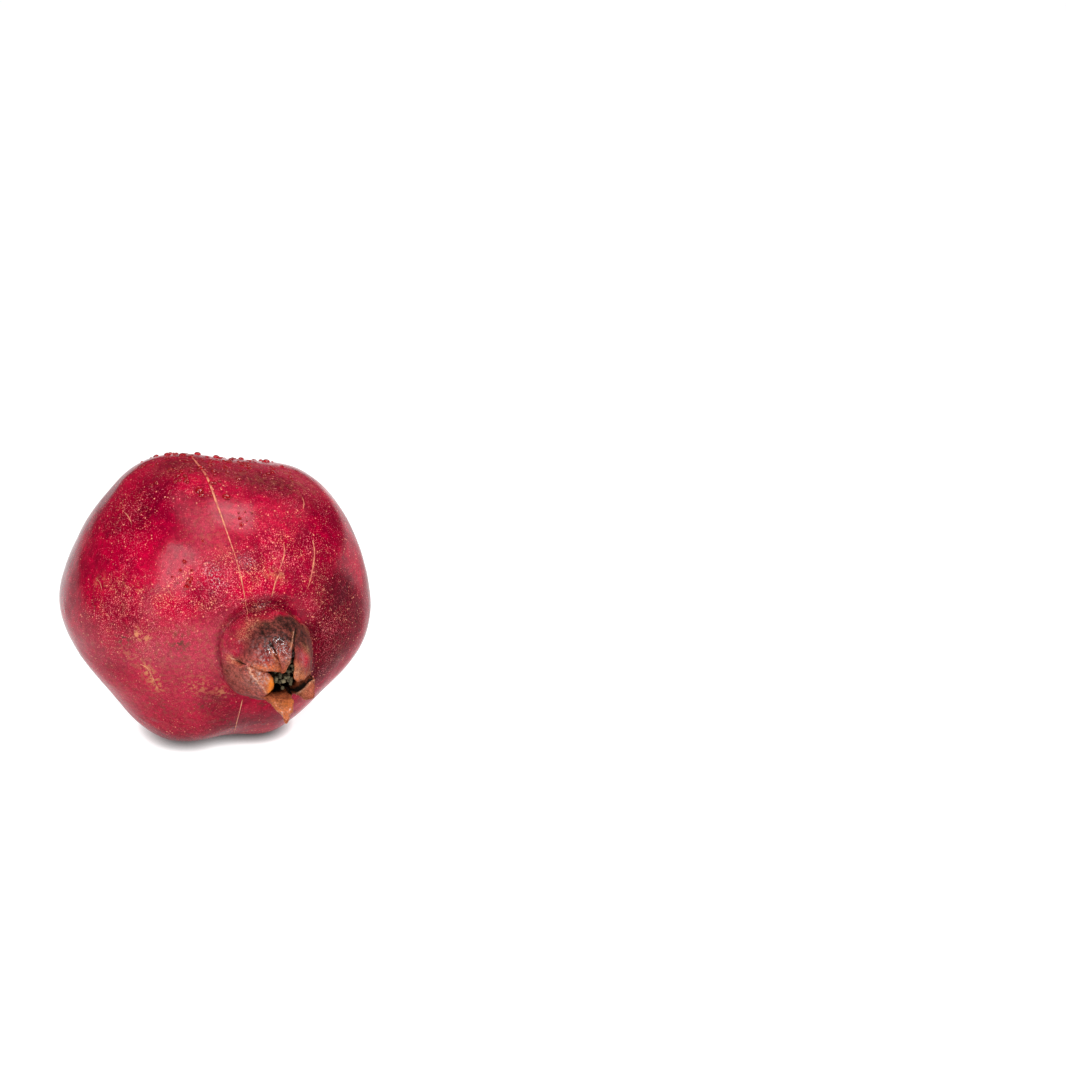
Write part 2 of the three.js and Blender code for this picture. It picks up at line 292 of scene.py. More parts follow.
calyx = {
    "neckRadius": 15.0,         # foot of the tube
    "neckZ": 41.3,
    "footArm": (0.3, 4.0),      # how far the tube keeps its direction there, outwards and up
    "rimRadius": 11.5,          # end of the tube, where the sepals start
    "rimZ": 52.1,
    "rimLean": 22.3,            # degrees inwards
    "rimArm": 4.0,
    "rimWall": 2.0,
    "tipWall": 1.45,
    "wallTaper": 0.05,          # for each mm up a sepal
    "valleyDepth": 1.4,         # groove round the tube's foot
    "valleyWidth": 1.9,
    "valleyAt": 62.0,           # direction where it is deepest
    "valleyLeast": 0.3,         # share of the depth on the other side
    "valleyLumps": (5.0, 8),
    "footRows": (22, 16),       # rows before and after the foot that are softened
    "footRounding": 34,         # passes
    "slitGap": 0.3,
    "slitOpening": 2.5,         # height over which a slit opens
    "slitZoneEnd": 3.0,         # height from which a sepal is free
    "slitBend": 1.5,            # height over which neighbours share their bend
    "swingPower": 2.8,
    "flatten": 0.33,            # how fast a free sepal flattens out
    "tipCurve": 0.8,
    "creaseWidth": 0.8,         # creases down the tube from the slits
    "grooveDepth": 0.55,
    "broadLumps": (5.5, 9),     # leathery relief: broad lumps, folds and bumps
    "foldLumps": (2.4, 5),
    "foldStretch": 0.35,        # of the pattern, up the sepals
    "bumpLumps": [(1.3, 6), (0.75, 7)],
    "broadHeight": 0.3,
    "foldHeight": 0.24,
    "bumpHeight": 0.2,
    "fray": 0.5,                # how far the outlines waver
    "frayLumps": [(2.2, 21), (2.2, 22)],        # across and along
    "cupArms": [(11.3, 47.5), (10.8, 44.6)],    # distance from the axis and z
    "cupFloorZ": 43.2,
    "cupFloorRadius": 8.5,
    "cupFloorRise": 0.6,
    "innerOrange": (0.1, 0.2, 0.5, 0.4, 0.7, 0.3),      # by sepal
    # A fitting program made the slits and sepals, but for one length, and also the rim's radius,
    # z and lean, swingPower and flatten. They are rounded.
    # slits between sepals: direction, and where each starts above the rim
    "slits": [(341.8, 2.0), (425.4, 1.2), (468.9, 7.0), (526.6, 2.1), (601.9, 0.6), (655.6, 0.8)],
    # sepals, each from its own slit: length, lean at the tip, squareness of the tip, sideways swing
    "sepals": [
        (13.6, 61, 20.0, -2.0), (14.0, 43.5, 11.0, 1.8), (12.1, 73, 5.1, -0.3),
        (9.9, 81, 18.3, 0.0), (11.9, -44, 1.0, -0.65), (8.4, -24, 2.0, -0.4),
    ],
}
slitDirections, slitStarts = np.array(calyx["slits"]).T
sepalLengths, sepalLeans, sepalSquares, sepalSwings = np.array(calyx["sepals"]).T

# the skin's grid: columns round it, and rows from the stem pole to the middle of the cup
columnsPerSepal = 60
skinRows = {
    "body": 136, "crease": 7, "tube": 26, "outer": 38, "edge": 6, "inner": 26, "cup": 10, "floor": 6,
}


def makeSectors():
    # Every column's sepal, its place across that sepal from 0 to 1, and its direction
    column = np.arange(len(sepalLengths) * columnsPerSepal)
    index = column // columnsPerSepal
    across = (column % columnsPerSepal) / columnsPerSepal
    end = np.append(slitDirections[1:], slitDirections[0] + 360.0)
    return {
        "index": index,
        "middle": np.radians((slitDirections + end) / 2.0)[index],
        "half": np.radians((end - slitDirections) / 2.0)[index],
        "direction": np.radians(blend(slitDirections[index], end[index], across)),
        "side": (across >= 0.5).astype(int),
        "edge": np.abs(2.0 * across - 1.0),     # 0 in the sepal's middle, 1 at its slits
    }


sectors = makeSectors()


def bodySkin(t):
    # A boxy ellipse from the stem pole to the collar, its radius swollen and sunk by ribs and dents
    polar = blend(math.pi, math.radians(body["collarPolar"]), t)[:, None]
    direction = sectors["direction"][None, :]
    half = np.where(np.cos(polar) > 0, body["calyxEnd"], body["stemEnd"])
    power = body["power"]
    radius = ((np.abs(np.cos(polar)) / half) ** power
              + (np.sin(polar) / body["equatorRadius"]) ** power) ** (-1.0 / power)
    for at, height, width in body["ribs"]:
        swell = bell(turnFrom(at, direction), math.radians(width))
        radius = radius + height * swell * np.sin(polar) ** 2
    for at, poleAngle, height, width, length in body["dents"]:
        swell = bell(turnFrom(at, direction), math.radians(width))
        swell = swell * bell(polar - math.radians(poleAngle), math.radians(length))
        radius = radius + height * swell * np.sin(polar) ** 2
    rho = radius * np.sin(polar)
    z = radius * np.cos(polar)
    collar = body["neckSwell"] * bell(rho - calyx["neckRadius"], body["neckSwellWidth"])
    dimple = body["stemDimple"] * bell(rho, body["stemDimpleRadius"])
    return ringPoints(direction, rho, z + np.where(z > 0, collar, dimple))


def creaseSkin(t):
    # Straight from the collar to the foot of the calyx tube
    start = bodySkin(np.array([1.0]))
    end = ringPoints(sectors["direction"][None, :], calyx["neckRadius"], calyx["neckZ"])
    return blend(start, end, t[:, None, None])


def tubeSkin(t):
    # A curve from the tube's foot to the rim, turned round the axis
    lean, arm = math.radians(calyx["rimLean"]), calyx["rimArm"]
    profile = bezier([
        (calyx["neckRadius"], calyx["neckZ"]),
        (calyx["neckRadius"] + calyx["footArm"][0], calyx["neckZ"] + calyx["footArm"][1]),
        (calyx["rimRadius"] + arm * math.sin(lean), calyx["rimZ"] - arm * math.cos(lean)),
        (calyx["rimRadius"], calyx["rimZ"]),
    ], t)
    return ringPoints(sectors["direction"][None, :], profile[:, :1], profile[:, 1:])


sepalBends = np.radians(sepalLeans - calyx["rimLean"]) / sepalLengths      # growth of the lean with height


def sepalArc(height, bend):
    # A sepal's middle line is an arc: its lean grows evenly with the height over the rim
    start = math.radians(calyx["rimLean"])
    lean = start + bend * height
    rho = calyx["rimRadius"] + (np.cos(lean) - math.cos(start)) / bend
    z = calyx["rimZ"] + (np.sin(lean) - math.sin(start)) / bend
    return lean, rho, z


def sepalOutlines():
    # Width and height of the outline at every column, spread by length from slit to tip. The width
    # is the sector's own, less the slit's gap, and runs out towards the tip.
    width, height = np.zeros(len(sectors["edge"])), np.zeros(len(sectors["edge"]))
    t = np.linspace(0.0, 1.0, 400)
    for index, (length, square) in enumerate(zip(sepalLengths, sepalSquares)):
        for side in (0, 1):
            here = (sectors["index"] == index) & (sectors["side"] == side)
            slit = slitStarts[(index + side) % len(slitStarts)]
            rise = blend(slit, length, t)
            rho = sepalArc(rise, sepalBends[index])[1]
            gap = calyx["slitGap"] * np.minimum(1.0, (rise - slit) / calyx["slitOpening"])
            wide = np.minimum(rho, calyx["rimRadius"]) * sectors["half"][here][0] - gap
            wide = wide * (1 - t ** square) ** calyx["tipCurve"]
            run = np.append(0.0, np.cumsum(np.hypot(np.diff(wide), np.diff(rise))))
            place = (1.0 - sectors["edge"][here]) * run[-1]
            width[here] = np.interp(place, run, wide)
            height[here] = np.interp(place, run, rise)
    return width, height


outlineWidth, outlineHeight = sepalOutlines()


def sepalSkin(rise, depth):
    # rise is 0 on the rim and 1 on the outline, depth is 0 outside and 1 inside. Near a slit the
    # bend is shared with the neighbour, so that the two sepals meet there.
    rise, depth = np.asarray(rise, float)[:, None], np.asarray(depth, float)[:, None]
    count = len(sepalLengths)
    index, side, edge = sectors["index"], sectors["side"], sectors["edge"]
    sign = 2.0 * side - 1.0
    own = sepalBends[index]
    shared = (own + sepalBends[(index + 2 * side - 1) % count]) / 2.0
    slit = slitStarts[(index + side) % count]

    height = rise * outlineHeight
    fade = edge ** 4 * bell(np.maximum(height - slit, 0.0), calyx["slitBend"])
    lean, rho, z = sepalArc(height, blend(own, shared, fade))
    start = blend(calyx["slitZoneEnd"], np.maximum(slit, calyx["slitZoneEnd"]), edge ** 2)
    free = np.maximum(height - start, 0.0)
    closed = sectors["half"] * rho
    spread = blend(edge * closed, outlineWidth, rise)
    share = free / (sepalLengths[index] - calyx["slitZoneEnd"])
    sway = sepalSwings[index] * share ** calyx["swingPower"]
    width = sign * blend(spread, closed, edge ** 16) + sway
    curve = rho + calyx["flatten"] * free ** 2
    turn = width / curve
    wall = depth * np.maximum(calyx["tipWall"], calyx["rimWall"] - calyx["wallTaper"] * height)
    outwards = rho - curve * (1.0 - np.cos(turn)) - wall * np.cos(lean) * np.cos(turn)
    sideways = curve * np.sin(turn) - wall * np.cos(lean) * np.sin(turn)
    middle = sectors["middle"]
    return np.stack([
        outwards * np.cos(middle) - sideways * np.sin(middle),
        outwards * np.sin(middle) + sideways * np.cos(middle),
        z - wall * np.sin(lean),
    ], -1)


def edgeSkin(t):
    # Round edge of the sepals: from outer to inner outline, swollen outwards by half the wall
    flat = sepalSkin(np.ones_like(t), t)
    out = unit(flat - sepalSkin(np.full_like(t, 0.96), t))
    swell = 0.5 * calyx["tipWall"] * np.sin(math.pi * t)[:, None, None]
    return flat + out * swell


def cupSkin(t):
    # A curve from the rim's inside down to the cup's floor, turned round the axis
    lean, wall = math.radians(calyx["rimLean"]), calyx["rimWall"]
    profile = bezier([
        (calyx["rimRadius"] - wall * math.cos(lean), calyx["rimZ"] - wall * math.sin(lean)),
        *calyx["cupArms"],
        (calyx["cupFloorRadius"], calyx["cupFloorZ"] + calyx["cupFloorRise"]),
    ], t)
    return ringPoints(sectors["direction"][None, :], profile[:, :1], profile[:, 1:])


def floorSkin(t):
    # Shallow dish from the cup's wall to its middle
    out = (1.0 - t)[:, None]
    z = calyx["cupFloorZ"] + calyx["cupFloorRise"] * out ** 2
    return ringPoints(sectors["direction"][None, :], calyx["cupFloorRadius"] * out, z)


def makeSkin():
    # The stretches in order, and each one's first row and number of rows. All but the last leave
    # out their last row, which the next one starts with.
    def steps(name):
        return np.linspace(0.0, 1.0, skinRows[name] + 1)[:-1]

    outer, inner = steps("outer"), 1.0 - steps("inner")
    stretches = {
        "body": bodySkin(steps("body")),
        "crease": creaseSkin(steps("crease")),
        "tube": tubeSkin(steps("tube")),
        "outer": sepalSkin(outer, np.zeros_like(outer)),
        "edge": edgeSkin(steps("edge")),
        "inner": sepalSkin(inner, np.ones_like(inner)),
        "cup": cupSkin(steps("cup")),
        "floor": floorSkin(np.linspace(0.0, 1.0, skinRows["floor"] + 1)),
    }
    zone, first = {}, 0
    for name, points in stretches.items():
        zone[name] = (first, len(points))
        first += len(points)
    return np.concatenate(list(stretches.values())), zone


def gridNormals(grid):
    # The cross product of the grid's differences around and along it
    along = np.gradient(grid, axis=0)
    around = (np.roll(grid, -1, axis=1) - np.roll(grid, 1, axis=1)) / 2.0
    return unit(np.cross(around, along))


def slitDistance(grid):
    # Distance along the skin from the nearest slit's direction
    turn = turnFrom(slitDirections[:, None], sectors["direction"][None, :])
    return np.abs(turn).min(0)[None, :] * np.hypot(grid[..., 0], grid[..., 1])


def valleyShare():
    # How deep the valley round the crown is in each direction: deepest above and to the right
    turn = np.cos(sectors["direction"] - math.radians(calyx["valleyAt"]))
    return blend(calyx["valleyLeast"], 1.0, smoothStep(-0.1, 0.9, turn))


def softenFoot(grid, zone):
    # Rounds the corner between the body and the tube, most where the valley is shallow, by moving
    # rows towards the middle of their neighbours
    before, after = calyx["footRows"]
    rows = slice(zone["tube"][0] - before, zone["tube"][0] + after)
    reach = np.hanning(before + after)[:, None, None] * (1.1 - 0.6 * valleyShare())[None, :, None]
    for _ in range(calyx["footRounding"]):
        between = (np.roll(grid, 1, axis=0) + np.roll(grid, -1, axis=0)) / 2.0
        grid[rows] += (between[rows] - grid[rows]) * np.clip(reach, 0.0, 1.0)
    return grid


def frayEdges(grid, zone):
    # Makes the sepals waver across and along, by the fourth power of the nearness to the outline
    rise = np.concatenate([
        np.linspace(0.0, 1.0, zone["outer"][1]),
        np.ones(zone["edge"][1]),
        np.linspace(1.0, 0.0, zone["inner"][1]),
    ])[:, None, None] ** 4
    rows = slice(zone["outer"][0], zone["cup"][0])
    middle = sectors["middle"]
    across = np.stack([-np.sin(middle), np.cos(middle), np.zeros_like(middle)], -1)
    along = unit(grid[zone["edge"][0]] - grid[zone["edge"][0] - 4])
    waves = [lumps(grid[rows], *pattern)[..., None] for pattern in calyx["frayLumps"]]
    grid[rows] += calyx["fray"] * rise * (waves[0] * across + waves[1] * along)
    return grid


def relief(grid, zone):
    # Height in mm that each point moves out along its normal, and how deep in a slit's crease it is
    row = np.arange(len(grid))[:, None]
    tubeStart, tubeRows = zone["tube"]
    outerStart, outerRows = zone["outer"]
    onBody = 1.0 - smoothStep(tubeStart - 2.0, tubeStart + 2.0, row)
    onCrown = (1.0 - onBody) * (row < zone["cup"][0])
    uneven = lumps(grid, *body["broadLumps"]) + 0.45 * lumps(grid, *body["smallLumps"])
    rise = body["unevenness"] * uneven * onBody
    # the valley round the tube's foot
    step = np.linalg.norm(np.diff(grid, axis=0, prepend=grid[:1]), axis=-1)
    along = np.cumsum(step, axis=0)
    wave = bell(along - along[tubeStart - 2], calyx["valleyWidth"])
    uneven = 1.0 + 0.5 * lumps(grid, *calyx["valleyLumps"])
    rise = rise - calyx["valleyDepth"] * wave * valleyShare() * uneven
    # creases run down the tube from each slit
    upTube = np.clip((row - tubeStart) / tubeRows, 0.0, 1.0)
    pastRim = np.clip((row - outerStart) / outerRows, 0.0, 1.0)
    inCrease = bell(slitDistance(grid), calyx["creaseWidth"]) * smoothStep(0.15, 1.0, upTube)
    inCrease = inCrease * (pastRim == 0.0)
    atSlit = bell(1.0 - sectors["edge"], 0.125)[None, :] * (1.0 - pastRim) ** 2
    groove = np.maximum(inCrease, atSlit * (pastRim > 0.0) * (row < zone["edge"][0]))
    rise = rise - calyx["grooveDepth"] * groove
    # leathery skin of the crown: broad lumps, folds that run up the sepals, and small bumps
    stretched = grid * np.array([1.0, 1.0, calyx["foldStretch"]])
    folds = 1.0 - 2.0 * np.abs(lumps(stretched, *calyx["foldLumps"]))
    large, small = (lumps(grid, *pattern) for pattern in calyx["bumpLumps"])
    leather = calyx["broadHeight"] * lumps(grid, *calyx["broadLumps"]) + calyx["foldHeight"] * folds
    leather = leather + calyx["bumpHeight"] * (large + 0.6 * small)
    return rise + leather * onCrown, groove


def restOnFloor(world):
    # The lowest skin is pressed flat on the floor, with a small rounding at the flat spot's edge
    rounding = fruitFrame["contactRounding"] / 1000.0
    z = world[..., 2]
    low = z < fruitFrame["contactHeight"] / 1000.0
    world[..., 2] = np.where(low, (z + np.sqrt(z ** 2 + rounding ** 2)) / 2.0, z)
    return world


skinShape, skinZone = makeSkin()
skinShape = frayEdges(softenFoot(skinShape, skinZone), skinZone)
skinRise, skinGroove = relief(skinShape, skinZone)
skinNormal = gridNormals(skinShape)
skinNormal[[0, -1]] = skinNormal[[1, -2]].mean(1, keepdims=True)
skinRise[[0, -1]] = skinRise[[1, -2]].mean(1, keepdims=True)
skinPoints = skinShape + skinNormal * skinRise[..., None]
skinWorld = restOnFloor(layDown(skinPoints))
skinWorldNormal = gridNormals(skinWorld)
print("skin worked out:", skinWorld.shape[:2])


def skinAt(pixels):
    # Where the lines of sight through some picture pixels meet the skin, and the skin's normals
    # there. Of the grid points close to a line, the one nearest the camera gives the plane that
    # cuts it.
    closeBy = 3.5       # pixels
    eye = cameraPlace()
    points = skinWorld[1:-1].reshape(-1, 3)
    normals = skinWorldNormal[1:-1].reshape(-1, 3)
    facing = ((eye - points) * normals).sum(-1) > 0
    points, normals = points[facing], normals[facing]
    right, up, forward = cameraAxes()
    depth = (points - eye) @ forward * 1000.0
    pixels = np.atleast_2d(np.asarray(pixels, float))
    away = np.sqrt(((toPixels(points)[None] - pixels[:, None]) ** 2).sum(-1))
    nearest = (away + 0.8 * depth + 1000.0 * (away > closeBy)).argmin(1)
    x, y = (pixels[:, :1] - halfPicture) / focalPixels, (pixels[:, 1:] - halfPicture) / focalPixels
    ray = forward + right * x - up * y
    reach = ((points[nearest] - eye) * normals[nearest]).sum(-1) / (ray * normals[nearest]).sum(-1)
    return eye + ray * reach[:, None], normals[nearest]


# Cracks, hollows, creases and raised seams of the crown, each with its half width in mm and the
# picture pixels along its middle line
seams = {
    "crackDepth": 0.7,
    "ridgeHeight": 0.3,
    "creaseDepth": 0.5,
    "cracks": [
        (0.28, [(296.2, 629.5), (295.2, 636), (294.6, 642), (293.4, 648), (292.8, 655), (292.0, 662)]),
        (0.26, [(269, 642), (271.5, 645.5), (274.3, 650), (276.8, 654.5)]),
        (0.16, [(236, 660.6), (240.5, 662.5), (245.0, 664.6)]),
        (0.55, [(299.5, 688.0), (303.5, 684.3), (308.0, 680.2), (314.0, 675.8)]),
    ],
    "hollows": [
        (1.20, [(290.0, 689.5), (293.0, 690.0), (296.0, 688.8)]),
        (1.00, [(297.0, 688.5), (300.0, 686.4), (303.0, 683.8)]),
    ],
    "creases": [
        (0.9, [(252, 692), (237, 684.5), (225.5, 673), (219, 663), (217, 652), (218, 641), (223, 630),
               (234, 618.5), (247, 610), (258, 606), (270, 604), (280, 605), (289, 609.5), (298, 620),
               (308, 630), (313.5, 641), (316, 655), (315.5, 667), (312, 677)]),
    ],
    "ridges": [
        (0.26, [(248.0, 668.0), (250.6, 669.6), (250.0, 673.0), (252.6, 674.6), (255.0, 678.3),
                (257.2, 679.8), (258.4, 683.0), (262.0, 685.6), (264.2, 689.4), (266.2, 692.6)]),
        (0.34, [(296.5, 693.0), (301.0, 691.0), (305.5, 687.2), (309.5, 683.2), (313.2, 680.4)]),
        (0.14, [(293.6, 631.5), (292.6, 638.0), (291.8, 643.0), (290.8, 649.0)]),
        (0.13, [(270.0, 648.5), (272.5, 654.0), (275.8, 661.0)]),
        (0.15, [(229.5, 657.0), (233.0, 658.8), (238.0, 660.4)]),
    ],
}


def seamField(lines, start, end):
    # 1 along the middle of each line as the camera sees it, fading to both sides over its half
    # width. Only the skin's rows from start to end take part.
    seen = toPixels(skinWorld[start:end].reshape(-1, 3))
    field = np.zeros(skinWorld.shape[:2])
    for width, pixels in lines:
        path = smoothLine(pixels, 8 * len(pixels))
        away = np.linalg.norm(seen[:, None] - path[None], axis=-1).min(1) / camera["pixelsPerMillimetre"]
        field[start:end] = np.maximum(field[start:end], bell(away, width).reshape(end - start, -1))
    return field


crownStart, crownEnd = skinZone["tube"][0], skinZone["inner"][0] + 8
crackField = np.maximum(
    seamField(seams["cracks"], crownStart, crownEnd),
    seamField(seams["hollows"], skinZone["outer"][0], skinZone["cup"][0]))
ridgeField = seamField(seams["ridges"], crownStart, crownEnd)
creaseField = seamField(seams["creases"], skinZone["crease"][0] - 20, crownEnd)
seamRise = seams["ridgeHeight"] * ridgeField - seams["crackDepth"] * crackField
seamRise = seamRise - seams["creaseDepth"] * creaseField
skinWorld = skinWorld + skinWorldNormal * seamRise[..., None] / 1000.0
skinWorldNormal = gridNormals(skinWorld)
print("seams drawn")


# Helpers for materials. They pass numbers and colours on as node sockets, and a socket also says
# which node tree the next node goes into.

def linear(red, green, blue):
    # An everyday 0 to 255 colour as the shader's own colour
    parts = np.array([red, green, blue]) / 255.0
    parts = np.where(parts <= 0.04045, parts / 12.92, ((parts + 0.055) / 1.055) ** 2.4)
    return (*parts.tolist(), 1.0)


def newMaterial(name):
    # A material with an empty node tree
    material = bpy.data.materials.new(name)
    material.use_nodes = True
    material.node_tree.nodes.clear()
    return material, material.node_tree


def isSocket(value):
    # Whether a value comes out of a node, and is not a number or colour
    return isinstance(value, bpy.types.NodeSocket)


def addNode(tree, kind, inputs=None, **settings):
    # An input is linked where a socket is given for it, and set where a number or colour is
    made = tree.nodes.new("ShaderNode" + kind)
    for key, setting in settings.items():
        setattr(made, key, setting)
    for key, value in (inputs or {}).items():
        if isSocket(value):
            tree.links.new(value, made.inputs[key])
        else:
            made.inputs[key].default_value = value
    return made


def treeOf(*values):
    # The node tree of the first socket among the values
    return next(value.id_data for value in values if isSocket(value))


def calc(operation, first, second):
    # A sum, product or the like of two numbers, of which one at least is a socket
    return addNode(treeOf(first, second), "Math", {0: first, 1: second}, operation=operation).outputs[0]


def times(first, second):
    return calc("MULTIPLY", first, second)


def plus(total, *parts):
    for part in parts:
        total = calc("ADD", total, part)
    return total


def ramp(value, low, high, start=0.0, end=1.0):
    # From start at low to end at high, with an S-shaped rise between, and level outside them
    return addNode(value.id_data, "MapRange", {
        "Value": value, "From Min": low, "From Max": high, "To Min": start, "To Max": end,
    }, interpolation_type="SMOOTHSTEP").outputs[0]


def mix(share, under, over, mode="MIX"):
    # A colour laid over another by a share from 0 to 1. A Mix node's colours are its inputs 6 and 7
    # and its output 2.
    made = addNode(treeOf(share, under, over), "Mix", {0: share, 6: under, 7: over},
                   data_type="RGBA", blend_type=mode)
    return made.outputs[2]


def tinted(colour, level):
    # A colour multiplied by a number
    return mix(1.0, colour, level, "MULTIPLY")


def twoTone(share, colours):
    # From the first to the second of two everyday colours
    return mix(share, *(linear(*colour) for colour in colours))


def attribute(tree, name):
    # A number that addValue has put on the mesh
    return addNode(tree, "Attribute", attribute_name=name).outputs["Fac"]


def objectPlace(tree, scale=(1.0, 1.0, 1.0)):
    # The place on the object, scaled by axis where a pattern is to be longer one way
    place = addNode(tree, "TexCoord").outputs["Object"]
    return addNode(tree, "Mapping", {"Vector": place, "Scale": scale}).outputs[0]


def noise(place, scale, detail=2.0, roughness=0.5, distortion=0.0):
    return addNode(place.id_data, "TexNoise", {
        "Vector": place, "Scale": scale, "Detail": detail, "Roughness": roughness, "Distortion": distortion,
    }).outputs["Fac"]


def flecks(place, share, scale, size, softness):
    # Small irregular spots: cells round random points, of which a share carries a spot, each of
    # its own size
    cells = addNode(place.id_data, "TexVoronoi", {"Vector": place, "Scale": scale, "Randomness": 1.0})
    chance = addNode(place.id_data, "SeparateColor", {"Color": cells.outputs["Color"]}).outputs
    inside = calc("SUBTRACT", times(chance[1], size), cells.outputs["Distance"])
    return times(ramp(inside, 0.0, softness), calc("LESS_THAN", chance[0], share))


def finish(tree, shader, height=None, depth=0.0, strength=1.0):
    # Joins the shader to the material's output, and a bump of some depth to the shader's normal
    addNode(tree, "OutputMaterial", {"Surface": shader.outputs[0]})
    if height is not None:
        bump = addNode(tree, "Bump", {"Height": height, "Distance": depth, "Strength": strength})
        tree.links.new(bump.outputs[0], shader.inputs["Normal"])


# The skin's finish. A noise is given by its scale, detail, roughness and distortion.
rind = {
    "colours": {
        "deepRed": (124, 0, 34),
        "brightRed": (170, 0, 45),
        "pinkRed": (160, 44, 64),
        # colour of painted shade on the red skin, and of its darker tone
        "darkRed": (48, 0, 10),
        "goldFleck": (218, 134, 108),
        "pinkFleck": (218, 108, 114),
        "olive": (132, 84, 58),
        "seam": (198, 138, 108),
        "russet": (184, 116, 80),
        "scab": (66, 42, 32),
        "crownRed": (114, 32, 30),
        "crownBrown": (94, 44, 38),
        "crownDark": (52, 25, 22),
        "rose": (136, 64, 58),
        "sepalOrange": (176, 94, 52),
        "tan": (182, 126, 88),
        "amber": (216, 116, 26),
        # painted shade in the cup, creases and cracks
        "dark": (26, 18, 14),
    },
    "broad": (55.0, 3.0, 0.55),
    "mottled": (480.0, 3.0, 0.65),
    "patchy": (700.0, 4.0, 0.7),
    "dark": (990.0, 2.0, 0.65),
    "film": (1700.0, 2.0, 0.6, 1.0),
    "grain": (3500.0, 1.5, 0.6, 0.5),
    "fleckPatches": (170.0, 4.0, 0.65),
    "fleckColours": (130.0, 2.0, 0.5),
    "streaky": (800.0, 3.0, 0.7),
    "streak": (1.0, 0.5, 1.0),      # longer along the calyx axis
    "spots": (1500.0, 0.42, 0.06),  # scale, size and softness
    "spotShare": 0.32,              # where the flecks are densest
    "bump": (0.00025, 0.5),
    "roughness": 0.17,
    "crownRoughness": 0.35,         # more than on the body
    "gloss": (0.16, 0.02),          # where it is clean, and where it is dull
    "crownGloss": 0.05,
    "filmDepth": 0.0003,            # the film of water on the wet places
    "filmRoughness": 0.1,
    "filmIor": 3.2,
}


